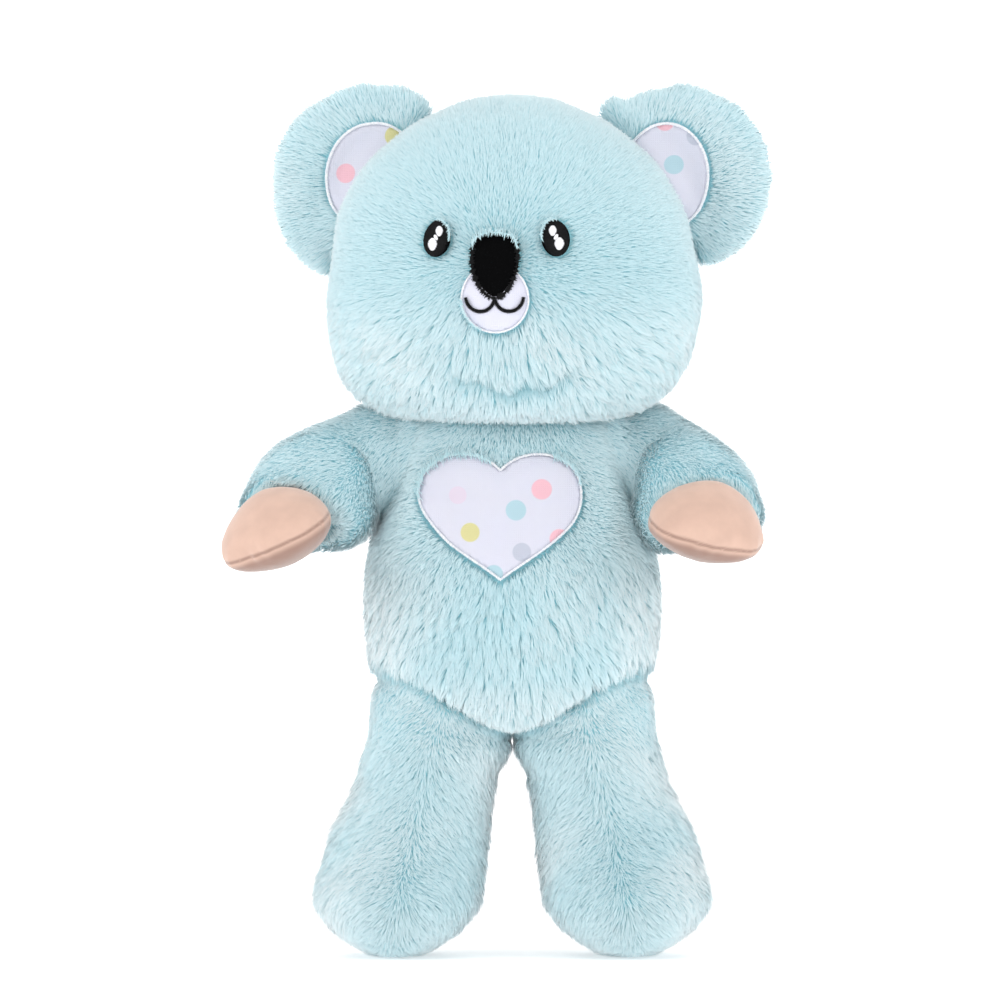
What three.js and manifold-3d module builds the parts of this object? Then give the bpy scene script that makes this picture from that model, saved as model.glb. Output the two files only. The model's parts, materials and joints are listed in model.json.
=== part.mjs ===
// A soft baby doll in a plush koala suit, as sewn: pile-cloth panels round separate plugs of filling,
// a koala hood with set-in ears over the head, fleece hands in open cuffs, and sewn-on patches.
// Millimetres, +Z up. The doll stands on its soles at the origin and faces -Y; its own left is +X.
// The surface of a pile panel is the middle height of its pile.
import * as THREE from "three";
import { mergeVertices } from "three/addons/utils/BufferGeometryUtils.js";
import Module from "manifold-3d";

// Cloths and the room between pieces.
const SEAM_GAP = 0.3; // between pieces that are sewn or laid face to face
const SWIVEL_GAP = 0.8; // between a stuffed ball and the hollow that it turns in
const PILE_WALL = 3.5; // backing cloth with the dense foot of its pile
const FLEECE_WALL = 1.6; // cloth of the hands
const PATCH_CLOTH = 1.2; // a sewn-on patch, let into the pile
const THREAD_RISE = 1.3; // satin stitch above the cloth that it is sewn on

// Legs. Heights are above the floor.
const LEG_HEIGHT = 97; // floor to crotch
const CROTCH_GAP = 9; // between the legs at the crotch
const SOLE_CUT = 0.5; // the stuffed foot is pressed flat by this much
const HIP_SLOPE = 18; // degrees that the leg seam climbs from the crotch to the hip
const LEG = {
  knee: { height: 66, out: 40, halfWidth: 30.5, front: 32, back: 31 },
  ankle: { height: 46, out: 46, halfWidth: 34.5, front: 38, back: 32 },
  instep: { height: 27, out: 50, halfWidth: 36.5, front: 47, back: 33 },
  toe: { height: 14, out: 50.5, halfWidth: 34.5, front: 47, back: 32.5 },
};
const THIGH = { below: 6, above: 30, front: 33, back: 32 }; // from the crotch's height
const THIGH_WIDER = 1.5; // than the hip, on its outer side
const SOLE_FULLNESS = 4; // 2 rounds the foot off like an ellipse, and more squares it

// Torso. Heights are above the crotch.
const TORSO = {
  hip: { height: 6, halfWidth: 58.5, front: 38, back: 38 },
  lowerBelly: { height: 29, halfWidth: 61, front: 45, back: 42 },
  belly: { height: 58, halfWidth: 63.5, front: 47, back: 44 },
  ribs: { height: 85, halfWidth: 60.5, front: 43, back: 42 },
  chest: { height: 108, halfWidth: 52, front: 36, back: 38 },
  collar: { height: 124, halfWidth: 45, front: 33, back: 35 },
};
const COLLAR_RISE = 17; // from the collar to the top of the torso
const TORSO_SQUARE = 0.8; // 1 is a round section, and less flattens the chest and back
const HIP_DROP = 22; // how far the torso would round off under the hip, had it no leg seam

// Neck: a ball of filling, half in the torso and half in the head.
const NECK_BALL = 24;
const NECK_HEIGHT = 144; // ball's centre above the crotch
const NECK_BACK = 2; // ball's centre behind the middle of the torso

// Head. Heights are above the neck ball's centre.
const HEAD_TURN = -6.5; // degrees: the face looks a little to the doll's right
const HEAD = {
  cheek: { height: 29, halfWidth: 78.5, front: 60, back: 60 },
  middle: { height: 46, halfWidth: 80.5, front: 64, back: 63 },
  temple: { height: 62, halfWidth: 77, front: 62.5, back: 62.5 },
};
const HEAD_SQUARE = 0.93;
const CHIN_DROP = 25; // from the cheeks to the underside of the head
const CHIN_FULLNESS = 4;
const CROWN_RISE = 68.5; // from the temples to the crown
const CROWN_FULLNESS = 1.85;
const SIDE_SEAM = 14; // the seam of front and back panel, behind the head's middle

// Ears, cupped stuffed rounds set into the side seam.
const EAR = { halfWidth: 36, halfHeight: 38.5, halfThickness: 8.5, cup: 5, fullness: 2.8 };
const EAR_OUT = { left: 78, right: 70 }; // middle of the ear from the middle of the head
const EAR_HEIGHT = 97.5; // middle of the ear above the neck ball
const EAR_ROOT = { out: 64, height: 96, lean: 35, halfLength: 34, radius: 10, endRadius: 4 };
const EAR_EASE = 5; // from the head's surface to the round of the ear
const EAR_LINING = { inward: 8.5, height: 99, halfWidth: 21, halfHeight: 23 };
const EAR_THREAD = 1.8; // width of the satin stitch round the lining

// Face. Heights are above the neck ball's centre.
const EYE = { out: 26, height: 71, halfWidth: 5.9, halfHeight: 7.8, lean: 10 };
const GLINT_UPPER = { out: -1.4, up: 2.9, halfWidth: 1.6, halfHeight: 2.1 };
const GLINT_LOWER = { out: 1.4, up: -2.6, halfWidth: 2.0, halfHeight: 2.6 };
const NOSE = { height: 58.5, halfWidth: 10.2, topHalfWidth: 9.4, rise: 13, drop: 13.4 };
const NOSE_THREAD = 1.6;
const NOSE_THREAD_RISE = 1.8;
const MUZZLE = { height: 43.5, halfWidth: 14, halfHeight: 14 };
const MUZZLE_THREAD = 1.3;
const MOUTH = { height: 44.5, curlRadius: 6.0, thread: 2.1 };

// Heart on the chest. Heights are above the crotch.
const HEART = { height: 97, halfWidth: 36, rise: 24.5, drop: 31, notch: 7.5, aside: -5 };
const HEART_THREAD = 1.5;

// Arms. A sleeve starts as a ball in the torso's side. The ends of sleeve and hand are measured
// from the ball's centre: outward, forward and down.
const SHOULDER_BALL = 25.5;
const SHOULDER_HEIGHT = 113.5; // above the crotch
const SHOULDER_PROUD = 5; // ball's centre outside the torso's side
const SLEEVE_HALF = { root: 21.5, middle: 23, cuff: 21.5 };
const SLEEVE_BORE = 15; // radius of the opening that the filling goes through at the shoulder
const ARMPIT_EASE = 3; // the sleeve's underside is cut back this far from the torso
const ARM_INWARD = 10; // degrees that an arm swings forward before its sleeve meets the torso
const ARM_BACK = 40; // degrees that it swings back
const ARM_LOWER = 8; // degrees that it is lowered
const CUFF_OVERLAP = 7; // length of the hand that is inside the cuff
const CUFF_CUT = 12; // the sleeve's hollow is cut this far past its cuff
const HAND_CUT = 4; // the hand's hollow is cut this far past its wrist
const HAND_PLUG = 6; // the hand's filling runs this far into the sleeve's
const FINGER_WALL = 2; // filling past the last ring of the hand's hollow
const ARM = {
  left: {
    cuff: { out: 31, forward: 36, down: 18 },
    tip: { out: 35, forward: 82, down: 36 },
    roll: 13,
  },
  right: {
    cuff: { out: 42, forward: 32, down: 19 },
    tip: { out: 54, forward: 76, down: 37 },
    roll: 21,
  },
};
const ARM_LEAVES = { out: 19, forward: 3, down: 4 }; // the way that a sleeve leaves the shoulder
const CUFF_STRAIGHT = 15; // how long the sleeve keeps to the hand's way before the cuff
const HAND = {
  wrist: { along: 0, halfWidth: 14, halfThick: 12 },
  cuff: { along: 8, halfWidth: 16, halfThick: 13 },
  palm: { along: 21, halfWidth: 22.5, halfThick: 14 },
  knuckles: { along: 33, halfWidth: 23, halfThick: 11.5 },
  fingertips: { along: 43, halfWidth: 18, halfThick: 6.5 },
};
const HAND_LENGTH = 49;
const HAND_SQUARE = 1.18; // above 1 the two panels of the hand meet in an edge

// Facets round a form. The inner walls, which only the filling meets, take fewer.
const FINE = 20; // torso, legs and ears
const HEAD_FINE = 22;
const MIDDLING = 16; // balls, sleeves and hands
const COARSE = 12;
const HAND_COARSE = 10;

// How far cutting forms reach.
const FAR = 1000; // a block on one side of a plane
const OUTSIDE = 250; // past the skin and all that stands on it
const INSIDE = 25; // under the skin

const wasm = await Module();
wasm.setup();

// A closed geometry as a solid that can be cut and joined.
function solidOf(geometry) {
  const bare = new THREE.BufferGeometry();
  bare.setAttribute("position", geometry.getAttribute("position"));
  bare.setIndex(geometry.getIndex());
  const merged = mergeVertices(bare, 1e-4);
  return new wasm.Manifold(
    new wasm.Mesh({
      numProp: 3,
      vertProperties: new Float32Array(merged.getAttribute("position").array),
      triVerts: new Uint32Array(merged.getIndex().array),
    }),
  );
}

// A solid as a geometry that a mesh can hold.
function geometryOf(solid) {
  const { vertProperties, triVerts, numProp, numVert } = solid.getMesh();
  const points = new Float32Array(numVert * 3);
  for (let i = 0; i < numVert; i++) {
    points.set(vertProperties.subarray(i * numProp, i * numProp + 3), i * 3);
  }
  const geometry = new THREE.BufferGeometry();
  geometry.setAttribute("position", new THREE.BufferAttribute(points, 3));
  geometry.setIndex(new THREE.BufferAttribute(new Uint32Array(triVerts), 1));
  geometry.computeVertexNormals();
  return geometry;
}

// Joins rings of points, each as [x, y, z], into one closed skin with a point at each end.
function skinOver(rings, firstPole, lastPole) {
  const around = rings[0].length;
  const points = [firstPole, ...rings.flat(), lastPole];
  const last = points.length - 1;
  const faces = [];
  for (let j = 0; j < around; j++) {
    const next = (j + 1) % around;
    faces.push(0, 1 + next, 1 + j);
    for (let i = 0; i + 1 < rings.length; i++) {
      const low = 1 + i * around;
      const high = low + around;
      faces.push(low + j, low + next, high + next, low + j, high + next, high + j);
    }
    const top = 1 + (rings.length - 1) * around;
    faces.push(last, top + j, top + next);
  }
  const geometry = new THREE.BufferGeometry();
  geometry.setAttribute("position", new THREE.Float32BufferAttribute(points.flat(), 3));
  geometry.setIndex(faces);
  return geometry;
}

// Moves a skin outwards along its own normals, or inwards where the distance is negative.
function offset(geometry, distance) {
  const moved = geometry.clone();
  moved.computeVertexNormals();
  const place = moved.getAttribute("position");
  const normal = moved.getAttribute("normal");
  for (let i = 0; i < place.count; i++) {
    place.setXYZ(
      i,
      place.getX(i) + normal.getX(i) * distance,
      place.getY(i) + normal.getY(i) * distance,
      place.getZ(i) + normal.getZ(i) * distance,
    );
  }
  return moved;
}

// Every number of the stations, smoothly between them, at t from 0 to the last station.
function between(stations, t) {
  const i = Math.min(Math.floor(t), stations.length - 2);
  const u = t - i;
  const [a, b, c, d] = [-1, 0, 1, 2].map(
    (k) => stations[Math.min(Math.max(i + k, 0), stations.length - 1)],
  );
  const at = {};
  for (const key of Object.keys(b)) {
    const slopeIn = (c[key] - a[key]) / 2;
    const slopeOut = (d[key] - b[key]) / 2;
    const u2 = u * u;
    const u3 = u2 * u;
    at[key] =
      (2 * u3 - 3 * u2 + 1) * b[key] +
      (u3 - 2 * u2 + u) * slopeIn +
      (3 * u2 - 2 * u3) * c[key] +
      (u3 - u2) * slopeOut;
  }
  return at;
}

// Share of the width that is left at a share u of a rounded end.
const rounded = (u, fullness) => (1 - u ** fullness) ** (1 / fullness);

// A power of a sine or cosine that keeps its sign: 1 gives a round section, and less squares it.
const squared = (value, power) => Math.sign(value) * Math.abs(value) ** power;

// A flat ring of a stuffed form. Its width, front and back can differ, and x moves it aside.
function flatRing({ height, x = 0, halfWidth, front, back, square = 1 }, around, share = 1) {
  return Array.from({ length: around }, (_, j) => {
    const angle = (2 * Math.PI * j) / around;
    const depth = Math.sin(angle) < 0 ? front : back;
    return [
      x + halfWidth * share * squared(Math.cos(angle), square),
      depth * share * squared(Math.sin(angle), square),
      height,
    ];
  });
}

// An upright stuffed form through its stations, rounded off below the first and above the last.
// It has so many points to a ring, and so many rings from each station to the next.
function stuffedForm(stations, ends, around, ringsBetween) {
  const { drop, dropFullness = 2, rise, riseFullness = 2 } = ends;
  const capRings = 2 + ringsBetween;
  const bodyRings = ringsBetween * (stations.length - 1);
  const rings = [];
  const first = stations[0];
  const last = stations[stations.length - 1];
  const capAngle = (k) => (k * Math.PI) / 2 / (capRings + 1);
  for (let k = capRings; k >= 1; k--) {
    const u = Math.sin(capAngle(k)) ** (2 / dropFullness);
    rings.push(
      flatRing({ ...first, height: first.height - drop * u }, around, rounded(u, dropFullness)),
    );
  }
  for (let k = 0; k <= bodyRings; k++) {
    rings.push(flatRing(between(stations, (k / bodyRings) * (stations.length - 1)), around));
  }
  for (let k = 1; k <= capRings; k++) {
    const u = Math.sin(capAngle(k)) ** (2 / riseFullness);
    rings.push(
      flatRing({ ...last, height: last.height + rise * u }, around, rounded(u, riseFullness)),
    );
  }
  return skinOver(
    rings,
    [first.x ?? 0, 0, first.height - drop],
    [last.x ?? 0, 0, last.height + rise],
  );
}

// A ring across a path, at a point, with its width along the side vector.
function crossRing(point, side, up, halfWidth, halfThick, around, square = 1) {
  return Array.from({ length: around }, (_, j) => {
    const angle = (2 * Math.PI * j) / around;
    return point
      .clone()
      .addScaledVector(side, halfWidth * squared(Math.cos(angle), square))
      .addScaledVector(up, halfThick * squared(Math.sin(angle), square))
      .toArray();
  });
}

// Side and up vectors across a direction, rolled about it by some degrees.
function across(direction, rollDegrees = 0) {
  const side = new THREE.Vector3().crossVectors(direction, new THREE.Vector3(0, 0, 1)).normalize();
  const up = new THREE.Vector3().crossVectors(side, direction).normalize();
  const roll = THREE.MathUtils.degToRad(rollDegrees);
  side.applyAxisAngle(direction, roll);
  up.applyAxisAngle(direction, roll);
  return { side, up };
}

const ball = (centre, radius) =>
  solidOf(new THREE.SphereGeometry(radius, MIDDLING, Math.ceil(MIDDLING * 0.6))).translate(
    centre.toArray(),
  );

// A large block on one side of a plane, for cutting a form in two. It lies where normal points.
function halfSpace(point, normal) {
  const block = new THREE.BoxGeometry(FAR, FAR, FAR);
  block.translate(0, 0, FAR / 2);
  block.applyQuaternion(
    new THREE.Quaternion().setFromUnitVectors(new THREE.Vector3(0, 0, 1), normal),
  );
  block.translate(point.x, point.y, point.z);
  return solidOf(block);
}

// The two pieces of a form on either side of a seam.
function splitAtSeam(form, point, normal) {
  const back = normal.clone().negate();
  const half = SEAM_GAP / 2;
  return [
    form.intersect(halfSpace(point.clone().addScaledVector(normal, half), normal)),
    form.intersect(halfSpace(point.clone().addScaledVector(back, half), back)),
  ];
}

// The part of a shell over an upright outline in X and Z that lies between two depths in its skin.
// It is taken in front of the depth that is named.
function layer(skin, outline, low, high, from = 0) {
  const prism = new THREE.ExtrudeGeometry(outline, { depth: FAR / 2, bevelEnabled: false });
  prism.rotateX(Math.PI / 2);
  prism.translate(0, from, 0);
  return solidOf(prism)
    .intersect(solidOf(offset(skin, high)))
    .subtract(solidOf(offset(skin, low)));
}

// An ellipse in X and Z, leaning by some degrees towards -X at its top.
function oval(x, z, halfWidth, halfHeight, leanDegrees = 0, grow = 0) {
  const lean = THREE.MathUtils.degToRad(leanDegrees);
  const shape = new THREE.Shape();
  shape.absellipse(x, z, halfWidth + grow, halfHeight + grow, 0, 2 * Math.PI, false, lean);
  return new THREE.Shape(shape.getPoints(9).slice(1));
}

// A shape with a smaller one cut out of it.
function ringShape(outer, inner) {
  const shape = new THREE.Shape(outer.getPoints(8));
  shape.holes.push(new THREE.Path(inner.getPoints(8)));
  return shape;
}

// A closed outline moved outwards by some distance, or inwards where it is negative.
function grownOutline(points, distance) {
  const count = points.length;
  return new THREE.Shape(
    points.map((point, i) => {
      const ahead = points[(i + 1) % count].clone().sub(points[(i + count - 1) % count]);
      const outward = new THREE.Vector2(ahead.y, -ahead.x).normalize();
      return point.clone().addScaledVector(outward, distance);
    }),
  );
}

const cloth = (color, roughness) =>
  new THREE.MeshStandardMaterial({ color, roughness, metalness: 0 });
const CLOTHS = {
  pile: cloth("#b7dbe4", 0.9),
  fleece: cloth("#eccdbb", 0.85),
  print: cloth("#e8e9f4", 0.8),
  white: cloth("#eceaf4", 0.8),
  whiteThread: cloth("#f6f4fa", 0.6),
  blackCloth: cloth("#08080a", 0.9),
  blackThread: cloth("#101014", 0.6),
  filling: cloth("#f2f1ec", 1),
};

const doll = new THREE.Group();
doll.name = "soft_baby_doll";
const headGroup = new THREE.Group();
headGroup.name = "head_and_ears";
doll.add(headGroup);

// Adds a solid to a group as a named mesh.
function add(group, name, solid, material) {
  const mesh = new THREE.Mesh(geometryOf(solid), material);
  mesh.name = name;
  group.add(mesh);
}

// Places that several pieces share.
const crotch = new THREE.Vector3(0, 0, LEG_HEIGHT);
const neck = new THREE.Vector3(0, NECK_BACK, LEG_HEIGHT + NECK_HEIGHT);
const torsoStations = Object.values(TORSO).map((s) => ({
  ...s,
  height: LEG_HEIGHT + s.height,
  square: TORSO_SQUARE,
}));
const torsoEnds = { drop: HIP_DROP, dropFullness: 3, rise: COLLAR_RISE };
const torsoSkin = stuffedForm(torsoStations, torsoEnds, FINE, 2);
const torsoInner = stuffedForm(torsoStations, torsoEnds, COARSE, 1);

// Half the torso's width at a height above the floor.
function torsoHalfWidth(height) {
  const i = torsoStations.findIndex((s) => s.height > height) - 1;
  const [low, high] = [torsoStations[i], torsoStations[i + 1]];
  return between(torsoStations, i + (height - low.height) / (high.height - low.height)).halfWidth;
}

const shoulderHeight = LEG_HEIGHT + SHOULDER_HEIGHT;
const shoulderAt = (side) =>
  new THREE.Vector3(side * (torsoHalfWidth(shoulderHeight) + SHOULDER_PROUD), 0, shoulderHeight);
const SIDES = [
  ["left", 1],
  ["right", -1],
];

// The plane of a leg seam, moved up or down. Its normal points up.
function legSeam(side, up) {
  const slope = THREE.MathUtils.degToRad(HIP_SLOPE);
  const normal = new THREE.Vector3(-side * Math.sin(slope), 0, Math.cos(slope));
  return { point: crotch.clone().setZ(LEG_HEIGHT + up), normal };
}

// What is above both leg seams.
function aboveSeams(form, up) {
  return SIDES.reduce((cut, [, side]) => {
    const { point, normal } = legSeam(side, up);
    return cut.intersect(halfSpace(point, normal));
  }, form);
}

function buildTorso() {
  const hollow = aboveSeams(solidOf(offset(torsoInner, -PILE_WALL)), PILE_WALL);
  let shell = aboveSeams(solidOf(torsoSkin), SEAM_GAP).subtract(hollow);
  let filling = aboveSeams(
    solidOf(offset(torsoInner, -PILE_WALL - SEAM_GAP)),
    PILE_WALL + SEAM_GAP,
  );
  const hollows = [
    ball(neck, NECK_BALL + SWIVEL_GAP),
    ...SIDES.map(([, side]) => ball(shoulderAt(side), SHOULDER_BALL + SWIVEL_GAP)),
  ];
  for (const hole of hollows) {
    shell = shell.subtract(hole);
    filling = filling.subtract(hole);
  }
  const outline = heartOutline();
  const pocket = grownOutline(outline, SEAM_GAP);
  shell = shell.subtract(layer(torsoSkin, pocket, -PATCH_CLOTH - SEAM_GAP, OUTSIDE));
  const [back, front] = splitAtSeam(shell, crotch, new THREE.Vector3(0, 1, 0));
  add(doll, "torso_front_panel", front, CLOTHS.pile);
  add(doll, "torso_back_panel", back, CLOTHS.pile);
  add(doll, "torso_filling", filling, CLOTHS.filling);
  const patch = layer(torsoSkin, new THREE.Shape(outline), -PATCH_CLOTH, 0);
  add(doll, "heart_patch", patch, CLOTHS.print);
  const border = ringShape(
    grownOutline(outline, HEART_THREAD / 2),
    grownOutline(outline, -HEART_THREAD / 2),
  );
  const thread = layer(torsoSkin, border, SEAM_GAP, THREAD_RISE);
  add(doll, "heart_stitching", thread, CLOTHS.whiteThread);
}

// The heart's points, anticlockwise: two lobes, a notch between them and a point below.
function heartOutline() {
  const { halfWidth, rise, drop, notch, aside } = HEART;
  const z = LEG_HEIGHT + HEART.height;
  const half = new THREE.Path();
  half.moveTo(aside, z - drop);
  half.bezierCurveTo(
    aside + 0.3 * halfWidth, z - 0.72 * drop,
    aside + halfWidth, z - 0.35 * drop,
    aside + halfWidth, z + 0.2 * rise,
  );
  half.bezierCurveTo(
    aside + halfWidth, z + 1.05 * rise,
    aside + 0.3 * halfWidth, z + 1.2 * rise,
    aside, z + rise - notch,
  );
  const right = half.getPoints(7);
  const left = right
    .slice(1, -1)
    .reverse()
    .map((p) => new THREE.Vector2(2 * aside - p.x, p.y));
  return [...right, ...left];
}

function buildLeg(sideName, side) {
  const hipEdge = TORSO.hip.halfWidth + THIGH_WIDER;
  const thighHalf = (hipEdge - CROTCH_GAP / 2) / 2;
  const thigh = {
    out: CROTCH_GAP / 2 + thighHalf,
    halfWidth: thighHalf,
    front: THIGH.front,
    back: THIGH.back,
  };
  // The thigh runs on above the seam, which then cuts it.
  const stations = [
    LEG.toe,
    LEG.instep,
    LEG.ankle,
    LEG.knee,
    { height: LEG_HEIGHT - THIGH.below, ...thigh },
    { height: LEG_HEIGHT + THIGH.above, ...thigh },
  ].map(({ out, ...rest }) => ({ x: side * out, ...rest }));
  const ends = { drop: LEG.toe.height + SOLE_CUT, dropFullness: SOLE_FULLNESS, rise: 1 };
  const skin = stuffedForm(stations, ends, FINE, 2);
  const inner = stuffedForm(stations, ends, COARSE, 1);
  const up = new THREE.Vector3(0, 0, 1);
  const trim = (form, gap, floor) => {
    const { point, normal } = legSeam(side, -gap);
    return form
      .intersect(halfSpace(point, normal.clone().negate()))
      .intersect(halfSpace(new THREE.Vector3(0, 0, floor), up));
  };
  const shell = trim(solidOf(skin), 0, 0).subtract(
    trim(solidOf(offset(inner, -PILE_WALL)), PILE_WALL, PILE_WALL),
  );
  const filling = trim(
    solidOf(offset(inner, -PILE_WALL - SEAM_GAP)),
    PILE_WALL + SEAM_GAP,
    PILE_WALL + SEAM_GAP,
  );
  // The front and back seam of the leg runs from the middle of the thigh to the middle of the toe.
  const hipMiddle = new THREE.Vector3(side * thigh.out, 0, LEG_HEIGHT);
  const toeMiddle = new THREE.Vector3(side * LEG.toe.out, 0, LEG.toe.height);
  const along = hipMiddle.clone().sub(toeMiddle);
  const outward = new THREE.Vector3(side * along.z, 0, -side * along.x).normalize();
  const [outer, innerHalf] = splitAtSeam(shell, hipMiddle, outward);
  add(doll, `leg_outer_panel_${sideName}`, outer, CLOTHS.pile);
  add(doll, `leg_inner_panel_${sideName}`, innerHalf, CLOTHS.pile);
  add(doll, `leg_filling_${sideName}`, filling, CLOTHS.filling);
}

// Where the torso is, seen from an arm, over the arm's inward swing and its lowering.
function torsoSweep(shoulder, side, grow) {
  const torso = solidOf(offset(torsoInner, grow)).translate(shoulder.clone().negate().toArray());
  const stops = [
    [0, 0],
    [ARM_INWARD, 0],
    [0, ARM_LOWER],
    [ARM_INWARD, ARM_LOWER],
    [-ARM_BACK, ARM_LOWER],
  ];
  return stops
    .map(([inward, lower]) =>
      torso.rotate([0, 0, side * inward]).rotate([0, -side * lower, 0]).translate(shoulder.toArray()),
    )
    .reduce((all, one) => all.add(one));
}

function buildArm(sideName, side) {
  const shoulder = shoulderAt(side);
  const { cuff, tip, roll } = ARM[sideName];
  const at = ({ out, forward, down }) =>
    shoulder.clone().add(new THREE.Vector3(side * out, -forward, -down));
  const handWay = at(tip).sub(at(cuff)).normalize();
  const path = new THREE.CubicBezierCurve3(
    shoulder,
    at(ARM_LEAVES),
    at(cuff).addScaledVector(handWay, -CUFF_STRAIGHT),
    at(cuff),
  );
  const tube = (thinner, beyond, around) => {
    const sizes = [SLEEVE_HALF.root, SLEEVE_HALF.middle, SLEEVE_HALF.cuff].map((half) => ({ half }));
    const steps = Math.ceil(around / 3);
    const rings = [];
    for (let k = 0; k <= steps; k++) {
      const t = k / steps;
      const { side: wide, up } = across(path.getTangentAt(t));
      const { half } = between(sizes, t * 2);
      rings.push(crossRing(path.getPointAt(t), wide, up, half - thinner, half - thinner, around));
    }
    const end = at(cuff);
    if (beyond > 0) {
      end.addScaledVector(path.getTangentAt(1), beyond);
      const { side: wide, up } = across(path.getTangentAt(1));
      const half = SLEEVE_HALF.cuff - thinner;
      rings.push(crossRing(end, wide, up, half, half, around));
    }
    return solidOf(skinOver(rings.map((ring) => ring.reverse()), shoulder.toArray(), end.toArray()));
  };
  const sleeveForm = (thinner, beyond, around) =>
    tube(thinner, beyond, around)
      .subtract(torsoSweep(shoulder, side, ARMPIT_EASE + thinner))
      .add(ball(shoulder, SHOULDER_BALL - thinner));
  const hand = buildHand(sideName, at(cuff), handWay, roll);
  const inward = new THREE.CylinderGeometry(SLEEVE_BORE, SLEEVE_BORE, 2 * SHOULDER_BALL, COARSE);
  inward.rotateZ(Math.PI / 2);
  inward.translate(shoulder.x - side * SHOULDER_BALL, shoulder.y, shoulder.z);
  const sleeve = sleeveForm(0, 0, MIDDLING)
    .subtract(sleeveForm(PILE_WALL, CUFF_CUT, COARSE))
    .subtract(solidOf(inward));
  add(doll, `sleeve_${sideName}`, sleeve, CLOTHS.pile);

  const plug = SHOULDER_BALL - PILE_WALL - SWIVEL_GAP;
  add(doll, `shoulder_filling_${sideName}`, ball(shoulder, plug), CLOTHS.filling);
  const cuffPlane = halfSpace(
    at(cuff).addScaledVector(handWay, -CUFF_OVERLAP - SEAM_GAP),
    handWay.clone().negate(),
  );
  const filling = sleeveForm(PILE_WALL + SEAM_GAP, 0, COARSE)
    .subtract(ball(shoulder, plug + SWIVEL_GAP))
    .intersect(cuffPlane)
    .add(hand.filling);
  add(doll, `arm_filling_${sideName}`, filling, CLOTHS.filling);
}

// A mitten hand of two fleece panels that meet in a rim seam. It starts inside the cuff.
function buildHand(sideName, cuffMiddle, way, roll) {
  const rolled = sideName === "left" ? -roll : roll;
  const { side: wide, up } = across(way, rolled);
  const start = cuffMiddle.clone().addScaledVector(way, -CUFF_OVERLAP);
  const form = (thinner, earlier, around) => {
    const stations = Object.values(HAND);
    const steps = 7;
    const rings = [];
    const place = (along) => start.clone().addScaledVector(way, along);
    const shorter = HAND_LENGTH - thinner;
    if (earlier > 0) {
      rings.push(
        crossRing(
          place(-earlier), wide, up,
          HAND.wrist.halfWidth - thinner, HAND.wrist.halfThick - thinner, around, HAND_SQUARE,
        ),
      );
    }
    for (let k = 0; k <= steps; k++) {
      const s = between(stations, (k / steps) * (stations.length - 1));
      rings.push(
        crossRing(
          place(Math.min(s.along, shorter - FINGER_WALL)), wide, up,
          s.halfWidth - thinner, s.halfThick - thinner, around, HAND_SQUARE,
        ),
      );
    }
    return solidOf(
      skinOver(
        rings.map((ring) => ring.reverse()),
        place(-Math.max(earlier, 0)).toArray(),
        place(shorter).toArray(),
      ),
    );
  };
  const shell = form(0, 0, MIDDLING).subtract(form(FLEECE_WALL, HAND_CUT, HAND_COARSE));
  const [top, bottom] = splitAtSeam(shell, start, up);
  add(doll, `hand_upper_panel_${sideName}`, top, CLOTHS.fleece);
  add(doll, `hand_lower_panel_${sideName}`, bottom, CLOTHS.fleece);
  return { filling: form(FLEECE_WALL + SEAM_GAP, HAND_PLUG, HAND_COARSE) };
}

const headStations = Object.values(HEAD).map((s) => ({
  ...s,
  height: neck.z + s.height,
  square: HEAD_SQUARE,
}));
const headEnds = {
  drop: CHIN_DROP,
  dropFullness: CHIN_FULLNESS,
  rise: CROWN_RISE,
  riseFullness: CROWN_FULLNESS,
};
const headSkin = stuffedForm(headStations, headEnds, HEAD_FINE, 2);
const headInner = stuffedForm(headStations, headEnds, COARSE, 1);

// The spindle that an ear turns on, and with some room round it the slot in the side seam.
function earRoot(side, room) {
  const { out, height, lean, halfLength, radius, endRadius } = EAR_ROOT;
  const profile = [new THREE.Vector2(0, -halfLength - room)];
  const steps = 8;
  for (let k = 0; k <= steps; k++) {
    const u = (2 * k) / steps - 1;
    const r = endRadius + (radius - endRadius) * (1 - u * u) + room;
    profile.push(new THREE.Vector2(r, u * (halfLength + room)));
  }
  profile.push(new THREE.Vector2(0, halfLength + room));
  const spindle = new THREE.LatheGeometry(profile, COARSE);
  spindle.rotateX(Math.PI / 2);
  spindle.rotateY(THREE.MathUtils.degToRad(-side * lean));
  spindle.translate(side * out, SIDE_SEAM, neck.z + height);
  return solidOf(spindle);
}

// The cupped round of an ear: a revolved profile, thick at its rim and set back in its middle.
function earSkin(sideName, side) {
  const { halfWidth, halfHeight, halfThickness, cup, fullness } = EAR;
  const steps = 5;
  const front = [];
  const back = [];
  for (let k = 0; k <= steps; k++) {
    const u = Math.sin((k / steps) * (Math.PI / 2));
    const middle = cup * (1 - u * u);
    const half = halfThickness * rounded(u, fullness);
    front.push(new THREE.Vector2(u, middle - half));
    back.push(new THREE.Vector2(u, middle + half));
  }
  const round = new THREE.LatheGeometry([...front, ...back.reverse().slice(1)], FINE);
  round.deleteAttribute("uv");
  round.deleteAttribute("normal");
  const whole = mergeVertices(round, 1e-5);
  whole.scale(halfWidth, 1, halfHeight);
  whole.translate(side * EAR_OUT[sideName], SIDE_SEAM, neck.z + EAR_HEIGHT);
  return whole;
}

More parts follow.
